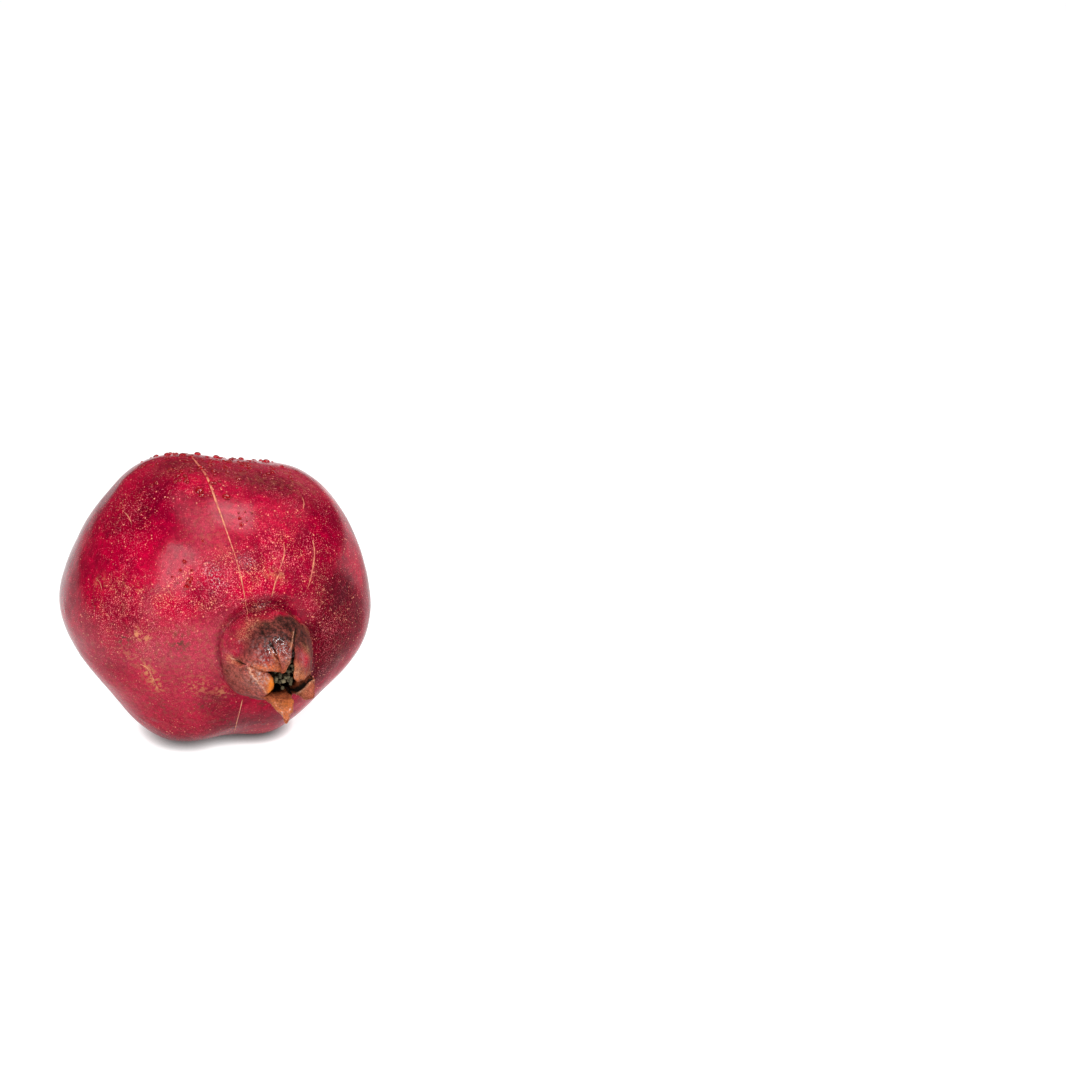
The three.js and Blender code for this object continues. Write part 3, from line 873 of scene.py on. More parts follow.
def makeRind():
    # Red skin and brown leather, shared out by the crown attribute, under a film of water
    material, tree = newMaterial("rind")
    place = objectPlace(tree)
    broad, mottled, patchy, dark, film, grain = (
        noise(place, *rind[name]) for name in ("broad", "mottled", "patchy", "dark", "film", "grain"))
    colours = {name: linear(*colour) for name, colour in rind["colours"].items()}

    # red skin: broad and small mottling, paler pink zones that are partly the skin's own and partly painted
    # sheen, and darker zones of painted shade
    tone = plus(times(broad, 0.6), times(mottled, 0.4))
    red = mix(ramp(tone, 0.38, 0.62), colours["deepRed"], colours["brightRed"])
    paleAndSheen, shade = attribute(tree, "paleAndSheen"), attribute(tree, "shade")
    # paler pink where the skin is paler, and painted sheen and reflection
    red = mix(times(paleAndSheen, 0.85), red, colours["pinkRed"])
    # painted shade: the shade attribute blends towards dark red, broken up by the dark noise
    darkShare = times(ramp(dark, 0.4, 0.62, 0.75, 1.0), ramp(shade, 0.0, 1.0, 0.06, 0.85))
    red = mix(darkShare, red, colours["darkRed"])
    red = tinted(red, ramp(grain, 0.36, 0.62, 0.75, 1.2))
    red = tinted(red, ramp(patchy, 0.38, 0.62, 0.85, 1.14))

    # flecks: irregular specks where the grain peaks, and rounder corky spots
    patches = ramp(noise(place, *rind["fleckPatches"]), 0.4, 0.6, 0.6, 1.15)
    dense = times(attribute(tree, "speckled"), patches)
    speck = ramp(calc("SUBTRACT", grain, ramp(dense, 0.0, 1.0, 0.7, 0.59)), 0.0, 0.025)
    spots = flecks(place, times(dense, rind["spotShare"]), *rind["spots"])
    goldShare = ramp(noise(place, *rind["fleckColours"]), 0.46, 0.62)
    strength = times(ramp(paleAndSheen, 0.0, 1.0, 1.0, 0.6), ramp(mottled, 0.4, 0.62, 0.8, 1.1))
    red = mix(times(speck, strength), red, mix(goldShare, colours["pinkFleck"], colours["goldFleck"]))
    red = mix(times(spots, strength), red, colours["goldFleck"])

    # corky and dark marks, broken up by a streaky noise
    streaky = noise(objectPlace(tree, rind["streak"]), *rind["streaky"])
    worn = times(attribute(tree, "russet"), ramp(streaky, 0.48, 0.6))
    red = mix(times(paleAndSheen, ramp(streaky, 0.46, 0.62, 0.0, 0.32)), red, colours["olive"])
    red = mix(worn, red, colours["russet"])
    red = mix(times(attribute(tree, "scab"), ramp(streaky, 0.48, 0.58)), red, colours["scab"])

    # crown: brown red, with its own brown, rose, orange and tan zones
    leather = mix(ramp(patchy, 0.38, 0.62), colours["crownRed"], colours["crownBrown"])
    brown = mix(ramp(patchy, 0.4, 0.64), colours["crownDark"], colours["crownBrown"])
    leather = mix(attribute(tree, "brown"), leather, brown)
    leather = mix(attribute(tree, "rose"), leather, colours["rose"])
    leather = tinted(leather, ramp(patchy, 0.36, 0.6, 0.55, 1.3))
    orangeShare = times(attribute(tree, "orange"), ramp(patchy, 0.36, 0.56, 0.5, 1.0))
    leather = mix(orangeShare, leather, colours["sepalOrange"])
    leather = tinted(leather, ramp(grain, 0.4, 0.62, 0.6, 1.4))
    crown = attribute(tree, "crown")
    skin = mix(crown, red, leather)
    skin = mix(times(attribute(tree, "tan"), ramp(grain, 0.5, 0.6, 0.05, 0.75)), skin, colours["tan"])
    skin = mix(attribute(tree, "amber"), skin, colours["amber"])
    skin = mix(times(attribute(tree, "seam"), ramp(film, 0.4, 0.52, 0.25, 0.95)), skin, colours["seam"])
    # painted shade, near black, down in the cup and in the creases and cracks
    skin = mix(attribute(tree, "dark"), skin, colours["dark"])

    # bump: fine grain and flecks, leathery folds on the crown
    folded = plus(times(patchy, 4.0), times(mottled, 4.0), times(grain, 1.5))
    flecked = plus(speck, spots)
    height = plus(times(mottled, 0.25), times(grain, 0.15), times(flecked, 0.1), times(folded, crown))

    # gloss: duller in the shade and on the crown, with an uneven film of water where it is wet
    rough = plus(rind["roughness"], times(plus(speck, worn), 0.12), times(crown, rind["crownRoughness"]))
    dull = calc("MAXIMUM", shade, attribute(tree, "dull"))
    shine = times(ramp(dull, 0.2, 1.0, *rind["gloss"]), ramp(grain, 0.38, 0.62, 0.6, 1.4))
    gloss = addNode(tree, "Mix", {"Factor": crown, "A": shine, "B": rind["crownGloss"]}).outputs[0]
    filmNormal = addNode(tree, "Bump", {"Height": film, "Distance": rind["filmDepth"], "Strength": 1.0})
    shader = addNode(tree, "BsdfPrincipled", {
        "Base Color": skin, "Roughness": rough, "Specular IOR Level": gloss,
        "Coat Weight": times(attribute(tree, "wet"), ramp(film, 0.52, 0.56)),
        "Coat Normal": filmNormal.outputs[0],
        "Coat Roughness": rind["filmRoughness"], "Coat IOR": rind["filmIor"],
    })
    finish(tree, shader, height, *rind["bump"])
    return material


# Marks in the skin's colour and gloss, as round blobs that add up: picture pixel, radius in mm and
# strength. Some of them paint shade and sheen into the colour.
skinMarks = {
    "speckled": [
        (258, 612, 4, 0.4), (275, 609, 4, 0.3), (130, 515, 10, 0.3), (120, 610, 12, 0.5),
        (215, 580, 8, 0.7), (285, 555, 14, 0.4), (190, 590, 8, 0.4), (320, 610, 12, 0.25),
        (328, 634, 7, 0.4), (331, 652, 7, 0.4), (345, 592, 9, 0.1), (300, 580, 9, 0.15),
        (318, 690, 6, 0.25), (215, 698, 6, 0.3), (336, 600, 7, -0.25), (185, 480, 10, 0.3),
        (240, 550, 8, 0.3), (145, 620, 9, 0.35), (120, 622, 7, 0.3), (205, 525, 9, -0.45),
        (215, 540, 8, -0.4), (226, 512, 7, -0.3), (175, 567, 8, -0.4), (230, 575, 10, 0.5),
        (262, 575, 10, 0.4), (290, 490, 10, 0.2), (160, 618, 10, 0.4), (185, 590, 8, 0.3),
        (92, 562, 9, -0.25), (285, 605, 8, -0.3),
    ],
    # painted shade: the neighbouring fruit's shadow down the right side, and darker skin in the crease round
    # the crown and low down near the floor; the rest darken the top edge and patches on the left
    "shade": [
        (180, 462, 8, 0.6), (230, 474, 8, 0.35), (255, 482, 8, 0.35), (205, 470, 7, 0.3),
        (355, 612, 8, 0.4), (354, 634, 8, 0.4), (347, 654, 6, 0.3), (342, 588, 6, 0.3),
        (335, 598, 11, 1), (331, 640, 9, 1), (322, 668, 7, 0.9), (285, 596, 5, 0.3), (120, 620, 9, 0.4),
        (112, 530, 12, 0.25), (262, 611, 4.5, 0.55), (276, 608, 4, 0.5), (288, 611, 3, 0.4),
        (250, 617, 4, 0.4), (235, 636, 5, 0.3), (150, 485, 12, 0.25), (250, 548, 5, 0.15),
        (300, 492, 9, 0.35), (325, 520, 9, 0.3), (290, 515, 14, 0.25), (270, 478, 8, 0.3),
        (215, 700, 6, 0.5), (240, 690, 5, 0.4), (150, 520, 14, 0.3), (230, 725, 8, 0.5),
        (270, 722, 8, 0.5), (303, 618, 3, 0.5), (314, 632, 3.5, 0.7), (319, 648, 4, 0.8),
        (319, 664, 4, 0.8), (190, 742, 9, 0.5), (225, 745, 9, 0.5), (190, 722, 12, 0.15),
        (160, 725, 10, 0.15),
    ],
    # paler pink skin that also paints sheen: the pale band along the top edge and the small pink glints on
    # the left are painted reflections, and the milky pink low down is partly painted reflection of the floor
    "paleAndSheen": [
        (130, 602, 9, -0.45), (162, 604, 9, -0.5), (190, 602, 8, -0.4), (144, 605, 3.5, 0.7),
        (153, 612, 3, 0.6), (165, 660, 16, 0.9), (200, 730, 14, 0.15), (110, 690, 14, 0.9),
        (250, 740, 12, 0.15), (215, 640, 9, 0.6), (290, 720, 9, 0.7), (202, 546, 6, 0.4),
        (205, 520, 8, 0.4), (215, 538, 8, 0.4), (180, 705, 14, 0.5), (225, 740, 12, 0.1),
        (180, 640, 12, 0.6), (90, 640, 9, 0.5), (305, 700, 8, 0.8), (338, 655, 5, 0.6),
        (225, 472, 6, 0.5), (250, 478, 6, 0.6), (275, 484, 6, 0.5), (200, 466, 6, 0.4),
        (165, 464, 6, 0.3), (300, 496, 6, 0.3), (240, 463, 4, 0.7), (262, 466, 4, 0.9),
        (285, 472, 4.5, 0.9), (300, 480, 5, 0.7), (312, 490, 5, 0.5),
    ],
    "russet": [
        (135, 633, 1.5, 0.7), (138.5, 634, 1.5, 0.8), (142, 635.2, 1.5, 0.8), (146, 637, 1.4, 0.7),
        (145, 667, 1.8, 0.8), (149, 674, 2.2, 0.8), (154, 681, 2.2, 0.8), (158, 688, 2, 0.8),
        (197, 685, 3.2, 0.8), (128, 655, 3, 0.3), (127, 584, 1.4, 0.7), (139, 587, 1.2, 0.7),
        (280, 575, 2.2, 0.5), (268, 573, 1.6, 0.5), (222, 693, 2.5, 0.6), (310, 628, 2, 0.9),
        (100, 582, 2, 0.7),
    ],
    "scab": [
        (120, 637, 1.8, 0.8), (125, 641, 1.6, 0.7), (178, 645, 3, 0.5), (205, 706, 3, 0.6),
        (226, 721, 2.4, 0.8), (261, 704, 2, 0.7), (158, 706, 4, 0.4), (182, 640, 3, 0.4),
    ],
    "brown": [
        (248, 629, 4, 0.6), (245, 640, 4, 0.6), (250, 651, 4, 0.6), (281, 623, 5.5, 0.9),
        (289, 626, 5, 0.9), (270, 629, 4.5, 0.9), (260, 633, 4.5, 0.8), (254, 642, 4, 0.8),
        (264, 641, 4, 0.7), (301, 634, 5, 0.9), (303, 644, 3.5, 0.8), (298, 642, 3, 0.8),
        (283, 634, 4, 0.5), (308, 690, 3, 0.8), (258, 650, 4, 0.5), (303, 650, 3, 0.4),
        (296, 655, 1.5, 0.8), (288, 662, 1.5, 0.4), (275, 694, 2.2, 0.7), (284, 692, 2.2, 0.7),
        (286, 721, 1.1, 0.8), (256, 630, 3, 0.6), (262, 635, 3.5, 0.5), (263, 688, 1.2, 0.6),
        (290, 708, 0.9, 0.6), (288.5, 713, 0.8, 0.6), (312, 690, 1.2, 0.5),
    ],
    "rose": [
        (237, 667, 6, 0.9), (250, 682, 6, 0.9), (232, 660, 4, 0.6), (245, 690, 5, 0.8),
        (262, 692, 3, 0.5), (285, 657, 2.4, 0.7), (304, 660, 3.2, 0.6), (262, 680, 3, 0.5),
        (283, 667, 1.6, 0.5), (299, 668, 2, 0.4), (275, 697, 2.2, 0.5), (283, 698, 2.2, 0.4),
        (306, 690, 3, 0.5), (311, 688, 3, 0.4), (259, 652, 2.5, 0.4),
    ],
    "red": [
        (233, 640, 4, 1), (232, 650, 3.5, 0.9), (226, 642, 4, 0.8), (236, 628, 4, 0.8),
        (247, 617, 3.2, 0.8), (262, 611, 2.6, 0.8), (276, 607, 2.6, 0.8), (290, 609, 2.4, 0.6),
        (223, 654, 3, 0.6), (303, 656, 2.6, 0.7), (306, 662, 2.4, 0.55), (258, 658, 3.5, 0.15),
        (268, 661, 3, 0.2),
    ],
    "orange": [
        (259, 665, 2.8, 0.15), (269, 665, 2.4, 0.15), (253, 667, 1.3, 0.5), (259, 668.5, 1.3, 0.6),
        (265, 669, 1.3, 0.6), (271, 669, 1.3, 0.6), (276, 668, 1.3, 0.6), (277, 661, 1, 0.5),
        (275, 655, 0.9, 0.4), (285, 672, 1, 0.5), (296, 676, 2.2, 0.8), (303, 678, 1.8, 0.6),
        (259, 676, 2.4, 0.3), (266, 681, 1.6, 0.3), (272, 681, 1.6, 1), (271, 688, 1.5, 1),
        (268, 692, 1.2, 0.7), (275, 702, 2.4, 0.8), (281, 707, 3, 1), (285, 715, 4, 1),
        (279, 711, 3, 1), (290, 703, 2, 0.9), (294, 634, 0.9, 0.5), (292, 644, 0.9, 0.6),
        (235, 660, 1.2, 0.7), (241, 662, 1.2, 0.8), (311, 684, 1.6, 0.6),
    ],
    "amber": [
        (272, 680.5, 1.1, 0.9), (272.6, 685.5, 1.3, 1), (270.6, 690.5, 1.1, 0.8),
        (286.5, 704.5, 1, 0.3),
    ],
    "tan": [
        (250, 625, 2, 0.7), (257, 621, 1.6, 0.4), (266, 620, 1.8, 0.2), (275, 615, 2.2, 0.1),
        (287, 612, 2.2, 0.2), (295, 617, 2, 0.3), (244, 634, 2, 0.6), (241, 638, 2, 0.4),
        (310, 628, 2.2, 1), (229, 658, 1.5, 1), (233, 660, 1.1, 0.7), (289, 664, 1.4, 1),
        (293, 668, 1.6, 1), (296, 672, 1.6, 1), (301, 675, 1.4, 0.6), (306, 650, 2.4, 0.5),
        (304, 658, 3, 0.2), (302, 668, 2.5, 0.3), (307, 630, 1.4, 0.8), (308, 650, 1.2, 0.7),
        (280, 704, 2, 0.5), (304, 692, 2.6, 0.8), (236, 674, 4, 0.25), (250, 686, 4, 0.25),
        (256, 677, 2, 0.3), (262, 681, 2.5, 0.3),
    ],
    "dull": [
        (283, 512, 9, 0.9), (290, 530, 9, 0.9), (300, 545, 9, 0.8), (275, 498, 7, 0.8),
        (276, 540, 7, 0.7), (296, 500, 8, 0.8), (310, 520, 8, 0.7), (200, 496, 6, 0.8),
        (228, 488, 6, 0.7), (245, 545, 5, 0.6), (223, 545, 4.5, 1), (219, 536, 4, 0.6),
        (356, 600, 9, 0.8), (354, 622, 9, 0.8), (350, 642, 8, 0.7), (342, 660, 6, 0.4),
    ],
    "wet": [
        (279, 645, 2.8, 1), (273, 645, 2.4, 1), (283, 650, 2.4, 0.9), (286, 655, 2, 0.5),
        (255, 643, 2, 0.2), (240, 644, 2, 0.2), (262, 654, 2, 0.3), (268, 661, 1.8, 0.4),
        (254, 656, 2, 0.1), (258, 680, 4, 0.6), (281, 706, 3, 0.6), (294, 674, 2, 0.5),
        (303, 672, 2, 0.5), (304, 660, 2.4, 0.3), (264, 678, 2, 0.5), (214, 575, 3.5, 0.5),
        (219, 584, 3, 0.4), (209, 570, 2.5, 0.3), (247, 562, 2.6, 0.8), (262, 604, 2.5, 0.5),
        (266, 664, 3, 0.3), (257, 664, 2.5, 0.2), (285, 712, 3, 0.4),
    ],
}

# What else varies over the skin: lumps make the colours uneven
zones = {
    "speckled": 0.3,
    "speckledLumps": (16.0, 11),
    "shadeLumps": (9.0, 12),
    "paleLumps": (20.0, 13),
    "crownLumps": (3.5, 14),
    "crownStart": (0.3, 0.6),       # share of the way up the tube
    "orangeLumps": (3.0, 15),
    "sepalOrange": 0.6,
}


def blobField(blobs):
    # Sum of soft round blobs on the skin
    places = skinAt([(x, y) for x, y, radius, strength in blobs])[0]
    total = np.zeros(skinWorld.shape[:2])
    for place, (x, y, radius, strength) in zip(places, blobs):
        away = np.linalg.norm(skinWorld - place, axis=-1) * 1000.0
        total = total + strength * bell(away, radius)
    return total


def colourFields():
    # From 0 to 1 at every grid point, for each colour and gloss that the rind's material reads
    fields = {name: blobField(blobs) for name, blobs in skinMarks.items()}
    row = np.arange(len(skinWorld))[:, None] * np.ones(skinWorld.shape[1])
    tubeStart, tubeRows = skinZone["tube"]
    outerStart, outerRows = skinZone["outer"]
    upTube = np.clip((row - tubeStart) / tubeRows, 0.0, 1.0)
    upSepal = np.clip((row - outerStart) / outerRows, 0.0, 1.0)
    fields["speckled"] += zones["speckled"] + 0.15 * lumps(skinPoints, *zones["speckledLumps"])
    # painted shade along the crease round the crown, and random darker patches of tone
    fields["shade"] += 0.12 * (lumps(skinPoints, *zones["shadeLumps"]) > 0.3) + 0.6 * creaseField
    fields["paleAndSheen"] += 0.12 * lumps(skinPoints, *zones["paleLumps"])
    # less gloss to the right and underneath
    right, up = skinWorldNormal[..., 0], skinWorldNormal[..., 2]
    turned = np.maximum(smoothStep(0.45, 0.8, right - 0.3 * up), smoothStep(0.0, 0.5, -up))
    fields["dull"] = np.maximum(fields["dull"], turned)
    # the tube turns from red to brown, sooner below and to the left
    low = 0.5 - 0.5 * np.cos(sectors["direction"] - math.radians(calyx["valleyAt"]))
    onset = upTube + 0.2 * low + 0.25 * lumps(skinPoints, *zones["crownLumps"])
    marked = np.clip(fields.pop("red"), 0.0, 1.0)
    fields["crown"] = smoothStep(*zones["crownStart"], onset) * (1.0 - marked)
    # the sepals go orange towards their edges where they have no marks, and inside
    seen = np.clip(fields["orange"] + fields["brown"] + fields["rose"], 0.0, 1.0)
    nearEdge = smoothStep(0.6, 1.0, upSepal + 0.3 * lumps(skinPoints, *zones["orangeLumps"]))
    fields["orange"] += zones["sepalOrange"] * (1.0 - seen) * nearEdge
    inner = smoothStep(skinZone["edge"][0] - 1.0, skinZone["edge"][0] + 3.0, row)
    fields["orange"] = np.maximum(fields["orange"], inner * np.array(calyx["innerOrange"])[sectors["index"]])
    fields["brown"] *= 1.0 - inner
    # painted shade: near black down in the cup, in the slits' creases and in the cracks
    deep = smoothStep(skinZone["inner"][0] + 22.0, skinZone["cup"][0] + 4.0, row)
    crease = 0.75 * np.clip(skinGroove, 0.0, 1.0) ** 2 * smoothStep(0.5, 1.0, upTube)
    fields["dark"] = np.maximum(np.maximum(deep, crease), np.minimum(1.0, 1.3 * crackField))
    fields["seam"] = np.clip(1.3 * ridgeField, 0.0, 1.0)
    fields["wet"] = np.maximum(fields["wet"], 0.6 * ridgeField)
    # the red skin's own marks stop where the sepals start
    for name in ("speckled", "russet", "scab", "paleAndSheen", "shade"):
        fields[name] = fields[name] * (row < outerStart)
    return {name: np.clip(field, 0.0, 1.0) for name, field in fields.items()}


def makeFruit():
    points, faces = closedGrid(skinWorld)
    piece = makePiece("fruit_skin", points, faces, makeRind())
    for name, field in colourFields().items():
        addValue(piece, name, poleRows(field))
    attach(piece, "root")
    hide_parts("fruit")


makeFruit()
print("fruit made")

# Healed scratches in the skin
scars = {
    "height": 0.1,
    "step": 0.7,                # between the points along a scar
    # each: width in mm at its start and at its end, then the picture pixels along its middle line
    "lines": [
        (1.0, 0.4, [(189.5, 454.5), (197, 463), (205.3, 474), (211, 487), (216.8, 503.5), (223.5, 522),
                    (230.5, 542.5), (236, 558)]),
        (0.4, 0.35, [(235, 556), (240, 573), (243.5, 590), (245, 598)]),
        (0.26, 0.2, [(245, 598), (246, 606), (247.5, 612), (246.5, 620)]),
        (0.5, 0.5, [(312.6, 540), (314.3, 549), (314.2, 559), (311.5, 575), (307.5, 589)]),
        (0.4, 0.4, [(283.5, 543), (284.6, 552), (282.5, 561), (278.5, 572)]),
        (0.42, 0.42, [(280, 572), (275.5, 582), (273.4, 590), (271.5, 597)]),
        (0.4, 0.4, [(242.4, 699.5), (240.5, 708), (237.4, 720), (234.4, 732)]),
        (0.3, 0.3, [(302, 497), (304, 503), (303, 509)]),
        (0.3, 0.3, [(124, 512), (128, 516), (132, 524)]),
        (0.3, 0.3, [(96, 578), (100, 583), (102, 590)]),
        (0.35, 0.35, [(140, 664), (147, 668), (153, 678), (158, 690)]),
    ],
    "seed": 5,
    "hairlines": 10,
    "hairlineWidths": (0.16, 0.3),
    "hairlineHeight": 0.4,      # share of a scar's
    "hairlineRows": (4, 9),     # least and most rows that one runs over
    "poleRows": (20, 14),       # kept free at the stem end and at the crown
    "colours": [(168, 78, 64), (200, 130, 92)],
}


def closedTube(path, rings):
    # A ring of points round each point of a path, closed to a point at both ends of the path
    start, end = (np.repeat(path[[at], None], rings.shape[1], 1) for at in (0, -1))
    return np.concatenate([start, path[:, None] + rings, end])


def flatTube(path, normal, width, height, sides=6):
    # A flat strand along a path on the skin, half sunk in
    aside = unit(np.cross(unit(np.gradient(path, axis=0)), normal))
    turn = fullTurn(sides)[None, :, None]
    across = aside[:, None] * np.cos(turn) * width[:, None, None] / 2.0
    return closedTube(path, across - normal[:, None] * np.sin(turn) * height)


def scarWidth(steps, atStart, atEnd, rng):
    # In metres along a scar, narrower at both ends, and uneven
    t = np.linspace(0.0, 1.0, steps)
    width = blend(atStart, atEnd, t) * (0.15 + 0.85 * np.sin(math.pi * t) ** 0.4)
    return width * rng.uniform(0.75, 1.15, steps) / 1000.0


def hairlinePaths(rng):
    # Short fine scratches that run more or less from pole to pole, on the side away from the camera
    paths = []
    columns = skinWorld.shape[1]
    stemRows, crownRows = scars["poleRows"]
    while len(paths) < scars["hairlines"]:
        row = int(rng.integers(stemRows, skinZone["body"][1] - crownRows))
        column = int(rng.integers(0, columns))
        if skinWorldNormal[row, column, 1] < 0.1:
            continue
        length = int(rng.integers(*scars["hairlineRows"]))
        drift = rng.uniform(-0.3, 0.3)
        steps = np.arange(length)
        at = row + steps, (column + np.round(drift * steps).astype(int)) % columns
        paths.append([smoothLine(grid[at], 3 * length) for grid in (skinWorld, skinWorldNormal)])
    return paths


def makeCork():
    material, tree = newMaterial("scar_cork")
    place = objectPlace(tree)
    tone = ramp(noise(place, 700.0, 3.0, 0.65), 0.4, 0.62)
    colour = twoTone(tone, scars["colours"])
    shader = addNode(tree, "BsdfPrincipled", {"Base Color": colour, "Roughness": 0.55})
    finish(tree, shader, noise(place, 2400.0, 2.0, 0.6), 0.0001, 0.6)
    return material


def makeScars():
    rng = np.random.default_rng(scars["seed"])
    height = scars["height"] / 1000.0
    grids = []
    for atStart, atEnd, pixels in scars["lines"]:
        length = np.linalg.norm(np.diff(np.array(pixels, float), axis=0), axis=1).sum()
        steps = max(6, int(length / camera["pixelsPerMillimetre"] / scars["step"]))
        path, normal = skinAt(smoothLine(pixels, steps))
        grids.append(flatTube(path, normal, scarWidth(steps, atStart, atEnd, rng), height))
    for path, normal in hairlinePaths(rng):
        width = rng.uniform(*scars["hairlineWidths"])
        width = scarWidth(len(path), width, width, rng)
        grids.append(flatTube(path, unit(normal), width, scars["hairlineHeight"] * height))
    points, faces = joinGrids(grids)
    piece = makePiece("skin_scars", points, faces, makeCork())
    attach(piece, "root")


makeScars()
print("scars made")

# Beads of water
beads = {
    "colour": (204, 16, 36),
    "count": 150,
    "smallest": 0.35,
    "largest": 1.05,
    "rarity": 2.2,              # how much rarer the large ones are
    "seed": 14,
    "levelness": (0.86, 0.98),  # upward share of the normal from which beads lie, and lie densest
    "poleRows": 12,             # kept free at both ends
    "squash": 0.15,
    "sides": 18,
    # from the skin to the top, in parts of the radius: distance from the middle and height
    "profile": [
        (0.0, -0.12), (0.96, -0.12), (1.0, 0.1), (0.93, 0.3),
        (0.76, 0.48), (0.52, 0.6), (0.26, 0.68), (0.0, 0.72),
    ],
    # each: picture pixel and radius in mm
    "placed": [
        (226.4, 497, 1.3), (239.7, 518.4, 0.6), (241.6, 524.5, 0.7), (238.5, 513, 0.4), (245, 512, 0.4),
        (184.5, 561.5, 0.7), (180.5, 570.5, 0.55), (191.7, 570.5, 0.5), (202.6, 540.6, 0.5),
        (186.6, 587.0, 0.95), (188.8, 582.6, 0.9), (191.2, 578.6, 0.7), (199.5, 491, 1.3), (247, 521, 0.35),
        (252, 513, 0.35), (172, 577, 0.4), (178, 583, 0.4), (131, 598, 0.4), (95, 606, 0.4),
    ],
}


def makeWater():
    material, tree = newMaterial("water")
    shader = addNode(tree, "BsdfPrincipled", {
        "Base Color": linear(*beads["colour"]), "Roughness": 0.02, "IOR": 1.33, "Transmission Weight": 0.75,
        "Coat Weight": 0.5, "Coat IOR": 1.5, "Coat Roughness": 0.02,
    })
    finish(tree, shader)
    return material


def makeBeads():
    # The placed ones, then the rest on top, where the skin is level enough for them. A bead is its
    # profile turned round the skin's normal and squashed one way.
    rng = np.random.default_rng(beads["seed"])
    places, normals = skinAt([(x, y) for x, y, radius in beads["placed"]])
    first, count = skinZone["body"]
    rows = slice(first + beads["poleRows"], first + count - beads["poleRows"])
    level = skinWorldNormal[rows]
    chance = smoothStep(*beads["levelness"], level[..., 2]).ravel()
    picked = rng.choice(chance.size, beads["count"], replace=False, p=chance / chance.sum())
    places = np.concatenate([places, skinWorld[rows].reshape(-1, 3)[picked]])
    normals = np.concatenate([normals, level.reshape(-1, 3)[picked]])
    sizes = blend(beads["smallest"], beads["largest"], rng.random(beads["count"]) ** beads["rarity"])
    radii = np.append([radius for x, y, radius in beads["placed"]], sizes)
    turn = fullTurn(beads["sides"])[None, :, None]
    wide, rise = np.array(beads["profile"]).T[..., None, None] / 1000.0
    grids = []
    for place, normal, radius in zip(places, normals, radii):
        aside = unit(np.cross(normal, [0.2, 0.9, 0.4]))
        other = np.cross(normal, aside)
        squash = 1.0 + rng.uniform(-beads["squash"], beads["squash"])
        ring = aside * np.cos(turn) * squash + other * np.sin(turn) / squash
        grids.append(place + radius * (wide * ring + rise * normal))
    points, faces = joinGrids(grids)
    piece = makePiece("water_beads", points, faces, makeWater())
    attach(piece, "root")


makeBeads()
print("beads made")

# Dried stamens and style in the cup, on a cushion
stamens = {
    "count": 46,
    "spread": 6.2,
    "footZ": 44.2,
    "topZ": 56.0,               # highest in the middle
    "topFall": 0.25,            # for each mm away from it
    "topSpread": 3.2,
    "tipShift": (2.2, -2.6),
    "filamentRadius": 0.22,
    "antherLength": 1.5,
    "antherRadius": 0.72,
    "styleTop": 53.0,
    "styleRadii": (0.75, 0.5),
    # the cushion from its underside to its top: distance from the axis and height over the floor
    "cushion": [(0.001, 0.9), (6.6, 0.9), (7.0, 1.2), (6.0, 2.0), (3.0, 2.25), (0.001, 2.3)],
    "threadColours": [(58, 44, 30), (104, 84, 56)],
    "pollenColours": [(62, 56, 42), (132, 122, 92)],
    "seed": 21,
}


def tubeGrid(path, radius, sides):
    # A round tube along a path, closed to a point at both ends
    along = unit(np.gradient(path, axis=0))
    aside = unit(np.cross(along, [0.31, 0.87, 0.12]))
    other = np.cross(along, aside)
    turn = fullTurn(sides)[None, :, None]
    ring = aside[:, None] * np.cos(turn) + other[:, None] * np.sin(turn)
    return closedTube(path, radius[:, None, None] * ring)


def makeDryStamen():
    material, tree = newMaterial("dried_stamens")
    place = objectPlace(tree)
    tone = noise(place, 900.0, 3.0, 0.6)
    thread = twoTone(tone, stamens["threadColours"])
    pollen = twoTone(ramp(tone, 0.35, 0.65), stamens["pollenColours"])
    colour = mix(attribute(tree, "anther"), thread, pollen)
    shader = addNode(tree, "BsdfPrincipled", {"Base Color": colour, "Roughness": 0.85})
    finish(tree, shader, noise(place, 2600.0, 2.0, 0.6), 0.0001, 0.6)
    return material


